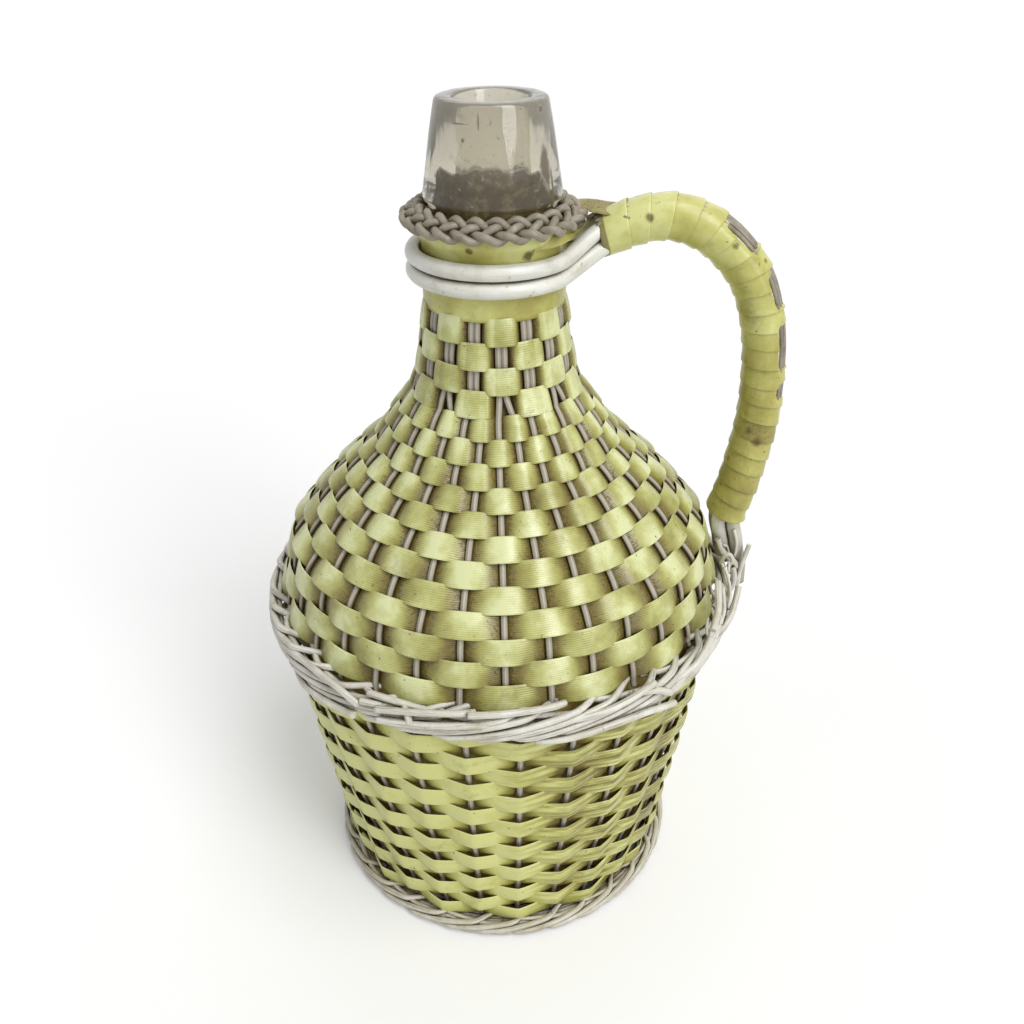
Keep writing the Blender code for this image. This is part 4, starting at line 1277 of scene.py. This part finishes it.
def wrapRing(turns, pitch, length):
    # one section of the winding, and how soiled it is there
    phase = math.tau * turns
    slow, quick = handle["wrapSway"]
    sway = slow * wander(turns * 0.9, 3.1) + quick * wander(turns * 2.3, 7.7)
    centre = handle["wrapStart"] + pitch * (turns + 0.5) + sway
    width = handle["wrapWidth"] * (1 + handle["wrapUneven"] * wander(turns * 1.3, 1.9))
    first, last = handle["wrapStart"] + handle["wrapClear"][0], length - handle["wrapClear"][1]
    aside = abs((phase + math.pi + handle["windowTurn"]) % math.tau - math.pi)
    slopeRound, slopeAlong = handle["windowSlope"]
    facing = 1 - easeOf((aside - handle["windowHalf"]) / slopeRound)
    ring = []
    for across, depth in stripSection:
        distance = min(max(centre + across * width, first), last)
        # in a window the strip lies under the lacing
        beyond = min(abs(distance / mm - middle) - span / 2 for middle, span in handle["windows"])
        gap = 1 - easeOf(beyond / slopeAlong)
        radius = handle["wrapRadius"] + handle["wrapLean"] * across * 2 + depth * strip["thickness"]
        radius += handle["wrapBumps"] * wander(turns * 4, across * 2) - handle["windowDent"] * gap * facing
        ring.append(besideHandle(distance, radius * math.cos(phase), radius * math.sin(phase)))
    soiledFrom, soiledOver = handle["wrapSoiled"]
    least, lower, patchy = handle["wrapSoil"]
    down = easeOf((centre / length - soiledFrom) / soiledOver)
    return ring, least + lower * down + patchy * max(0.0, wander(turns * 1.1, 4.4))


def makeWrap():
    length = handleReached[-1]
    pitch = (length - handle["wrapStart"] - handle["wrapEnd"]) / (handle["turns"] + 1)
    material = stripMaterial(
        "handlePolypropyleneStrip", stripLook["handleTones"], 0.12, 0.8, stains=handle["stains"],
        seam=handle["wrapWidth"] - pitch + handle["seamBeside"])
    columns = range(handle["turns"] * handle["wrapSteps"] + 1)
    rings, tucks = zip(*[wrapRing(column / handle["wrapSteps"], pitch, length) for column in columns])
    makePiece("handleWrap", [(rings, tucks)], material, ["handle_wrap"])

    # grey cords along the outside under the strip, seen where the winding leaves a gap
    sweeps = []
    run = length - handle["wrapEnd"]
    for turn in handle["lacingTurns"]:
        out, side = Vector((math.cos(turn), math.sin(turn))) * (handle["wrapRadius"] - handle["lacingDepth"])
        count = handle["lacingSteps"]
        path = [besideHandle(run * i / count, out, side) for i in range(count + 1)]
        sweeps.append(tubeRings(path, handle["lacing"] / 2, sides=8))
    material = cordMaterial("greyLacingCord", plaitLook)
    makePiece("handleLacing", sweeps, material, ["handle_lacing"])
    print("handle wrapped")


makeWrap()

base = {
    "rows": 4,
    "firstRow": 35.4 * mm,
    "rowPitch": 8.9 * mm,
    "rowWidth": 8.4 * mm,
    "rowLift": 0.6 * mm,
    "rowWave": 0.5 * mm,
    "rowSteps": 8,
    "coils": 6,
    "coilStart": 1.5 * mm,
    "coilPitch": 2.55 * mm,
    "coilRadius": 1.28 * mm,
    "coilSteps": 48,
}


def makeBase():
    # under the bottle: rows of flat strip over the crossed stakes, and the coiled binding at the middle
    material = stripMaterial("basePolypropyleneStrip", stripLook["lowerTones"], 0.6, 0.6)
    height = sum(heightsOf("base_weave")) / 2 + base["rowLift"]
    count = jacket["lowerStakes"] * base["rowSteps"]
    sweeps = []
    for row in range(base["rows"]):
        middle = base["firstRow"] + row * base["rowPitch"]
        rings = []
        for i in range(count):
            angle = jacket["lowerTurn"] + 360 * i / count
            lift = height + base["rowWave"] * math.cos(math.pi * (i / base["rowSteps"] + row))
            rings.append([
                aroundAxis(middle + across * base["rowWidth"], lift + depth * strip["thickness"], angle)
                for across, depth in stripSection
            ])
        sweeps.append(rings)
    makePiece("baseWeave", sweeps, material, ["base_weave"], closed=True)

    low, high = heightsOf("base_binding")
    middle, radius = (low + high) / 2, base["coilRadius"]
    path = []
    for i in range(base["coils"] * base["coilSteps"] + 1):
        turn = i / base["coilSteps"]
        path.append(aroundAxis(base["coilStart"] + base["coilPitch"] * turn, middle, 360 * turn))
    rings = tubeRings(path, radius, sides=10)
    for ring in rings:
        for point in ring:
            point.z = low + (point.z - middle + radius) / (2 * radius) * (high - low)
    makePiece("baseBinding", [rings], stakeMaterial(), ["base_binding"])
    print("base made")


makeBase()

studio = {
    "floorSize": 14,
    "floorWhite": 0.80,
    "floorGlow": 0.15,
    "ambient": 0.35,
    "lampDistance": 1.5,
    # name: (angle round the bottle, elevation, apparent size in degrees, light on a surface that faces it)
    "lamps": {
        "keyLowLamp": (36, 18, 26, 0.22),
        "keyMiddleLamp": (40, 42, 26, 0.36),
        "keyHighLamp": (50, 66, 26, 0.26),
        "fillLamp": (-70, 35, 50, 0.05),
        "topLamp": (0, 85, 60, 0.08),
        "backLamp": (165, 45, 60, 0.12),
    },
}


def makeStudio():
    bpy.ops.mesh.primitive_plane_add(size=studio["floorSize"], location=(0, 0, 0))
    floor = bpy.context.object
    floor.name = "studioFloor"
    # a matt pale floor, with a little light of its own to the camera so that its sunlit part reads as white
    material, add = newMaterial("paleStudioFloor")
    pale = add("BsdfDiffuse", {"Color": (studio["floorWhite"],) * 3 + (1,)})
    glow = add("Emission", {"Strength": studio["floorGlow"]})
    both = add("AddShader", {0: pale, 1: glow})
    path = add("LightPath").outputs
    seen = add("Math", {"operation": "MAXIMUM", 0: path["Is Camera Ray"], 1: path["Is Transmission Ray"]})
    add("OutputMaterial", {"Surface": add("MixShader", {0: seen, 1: pale, 2: both})})
    floor.data.materials.append(material)

    # the world is plain grey light, and white where the camera, a reflection or the glass looks at it
    world = bpy.data.worlds.new("studioWorld")
    add = nodeAdder(world)
    path = add("LightPath").outputs
    seen = add("Math", {"operation": "MAXIMUM", 0: path["Is Camera Ray"], 1: path["Is Glossy Ray"]})
    seen = add("Math", {"operation": "MAXIMUM", 0: seen, 1: path["Is Transmission Ray"]})
    level = add("MapRange", {0: seen, 3: studio["ambient"]})
    add("OutputWorld", {"Surface": add("Background", {"Color": (1, 1, 1, 1), "Strength": level})})
    bpy.context.scene.world = world

    for name, (angle, elevation, apparent, level) in studio["lamps"].items():
        data = bpy.data.lights.new(name, "SUN")
        data.angle = math.radians(apparent)
        data.energy = level * math.pi
        lamp = bpy.data.objects.new(name, data)
        bpy.context.scene.collection.objects.link(lamp)
        flat, high = math.cos(math.radians(elevation)), math.sin(math.radians(elevation))
        lamp.location = aroundAxis(flat, high, angle) * studio["lampDistance"]
        lamp.rotation_mode = "QUATERNION"
        lamp.rotation_quaternion = (-lamp.location).to_track_quat("-Z", "Y")
    bpy.context.scene.view_settings.view_transform = "Standard"
    print("studio lit")


makeStudio()
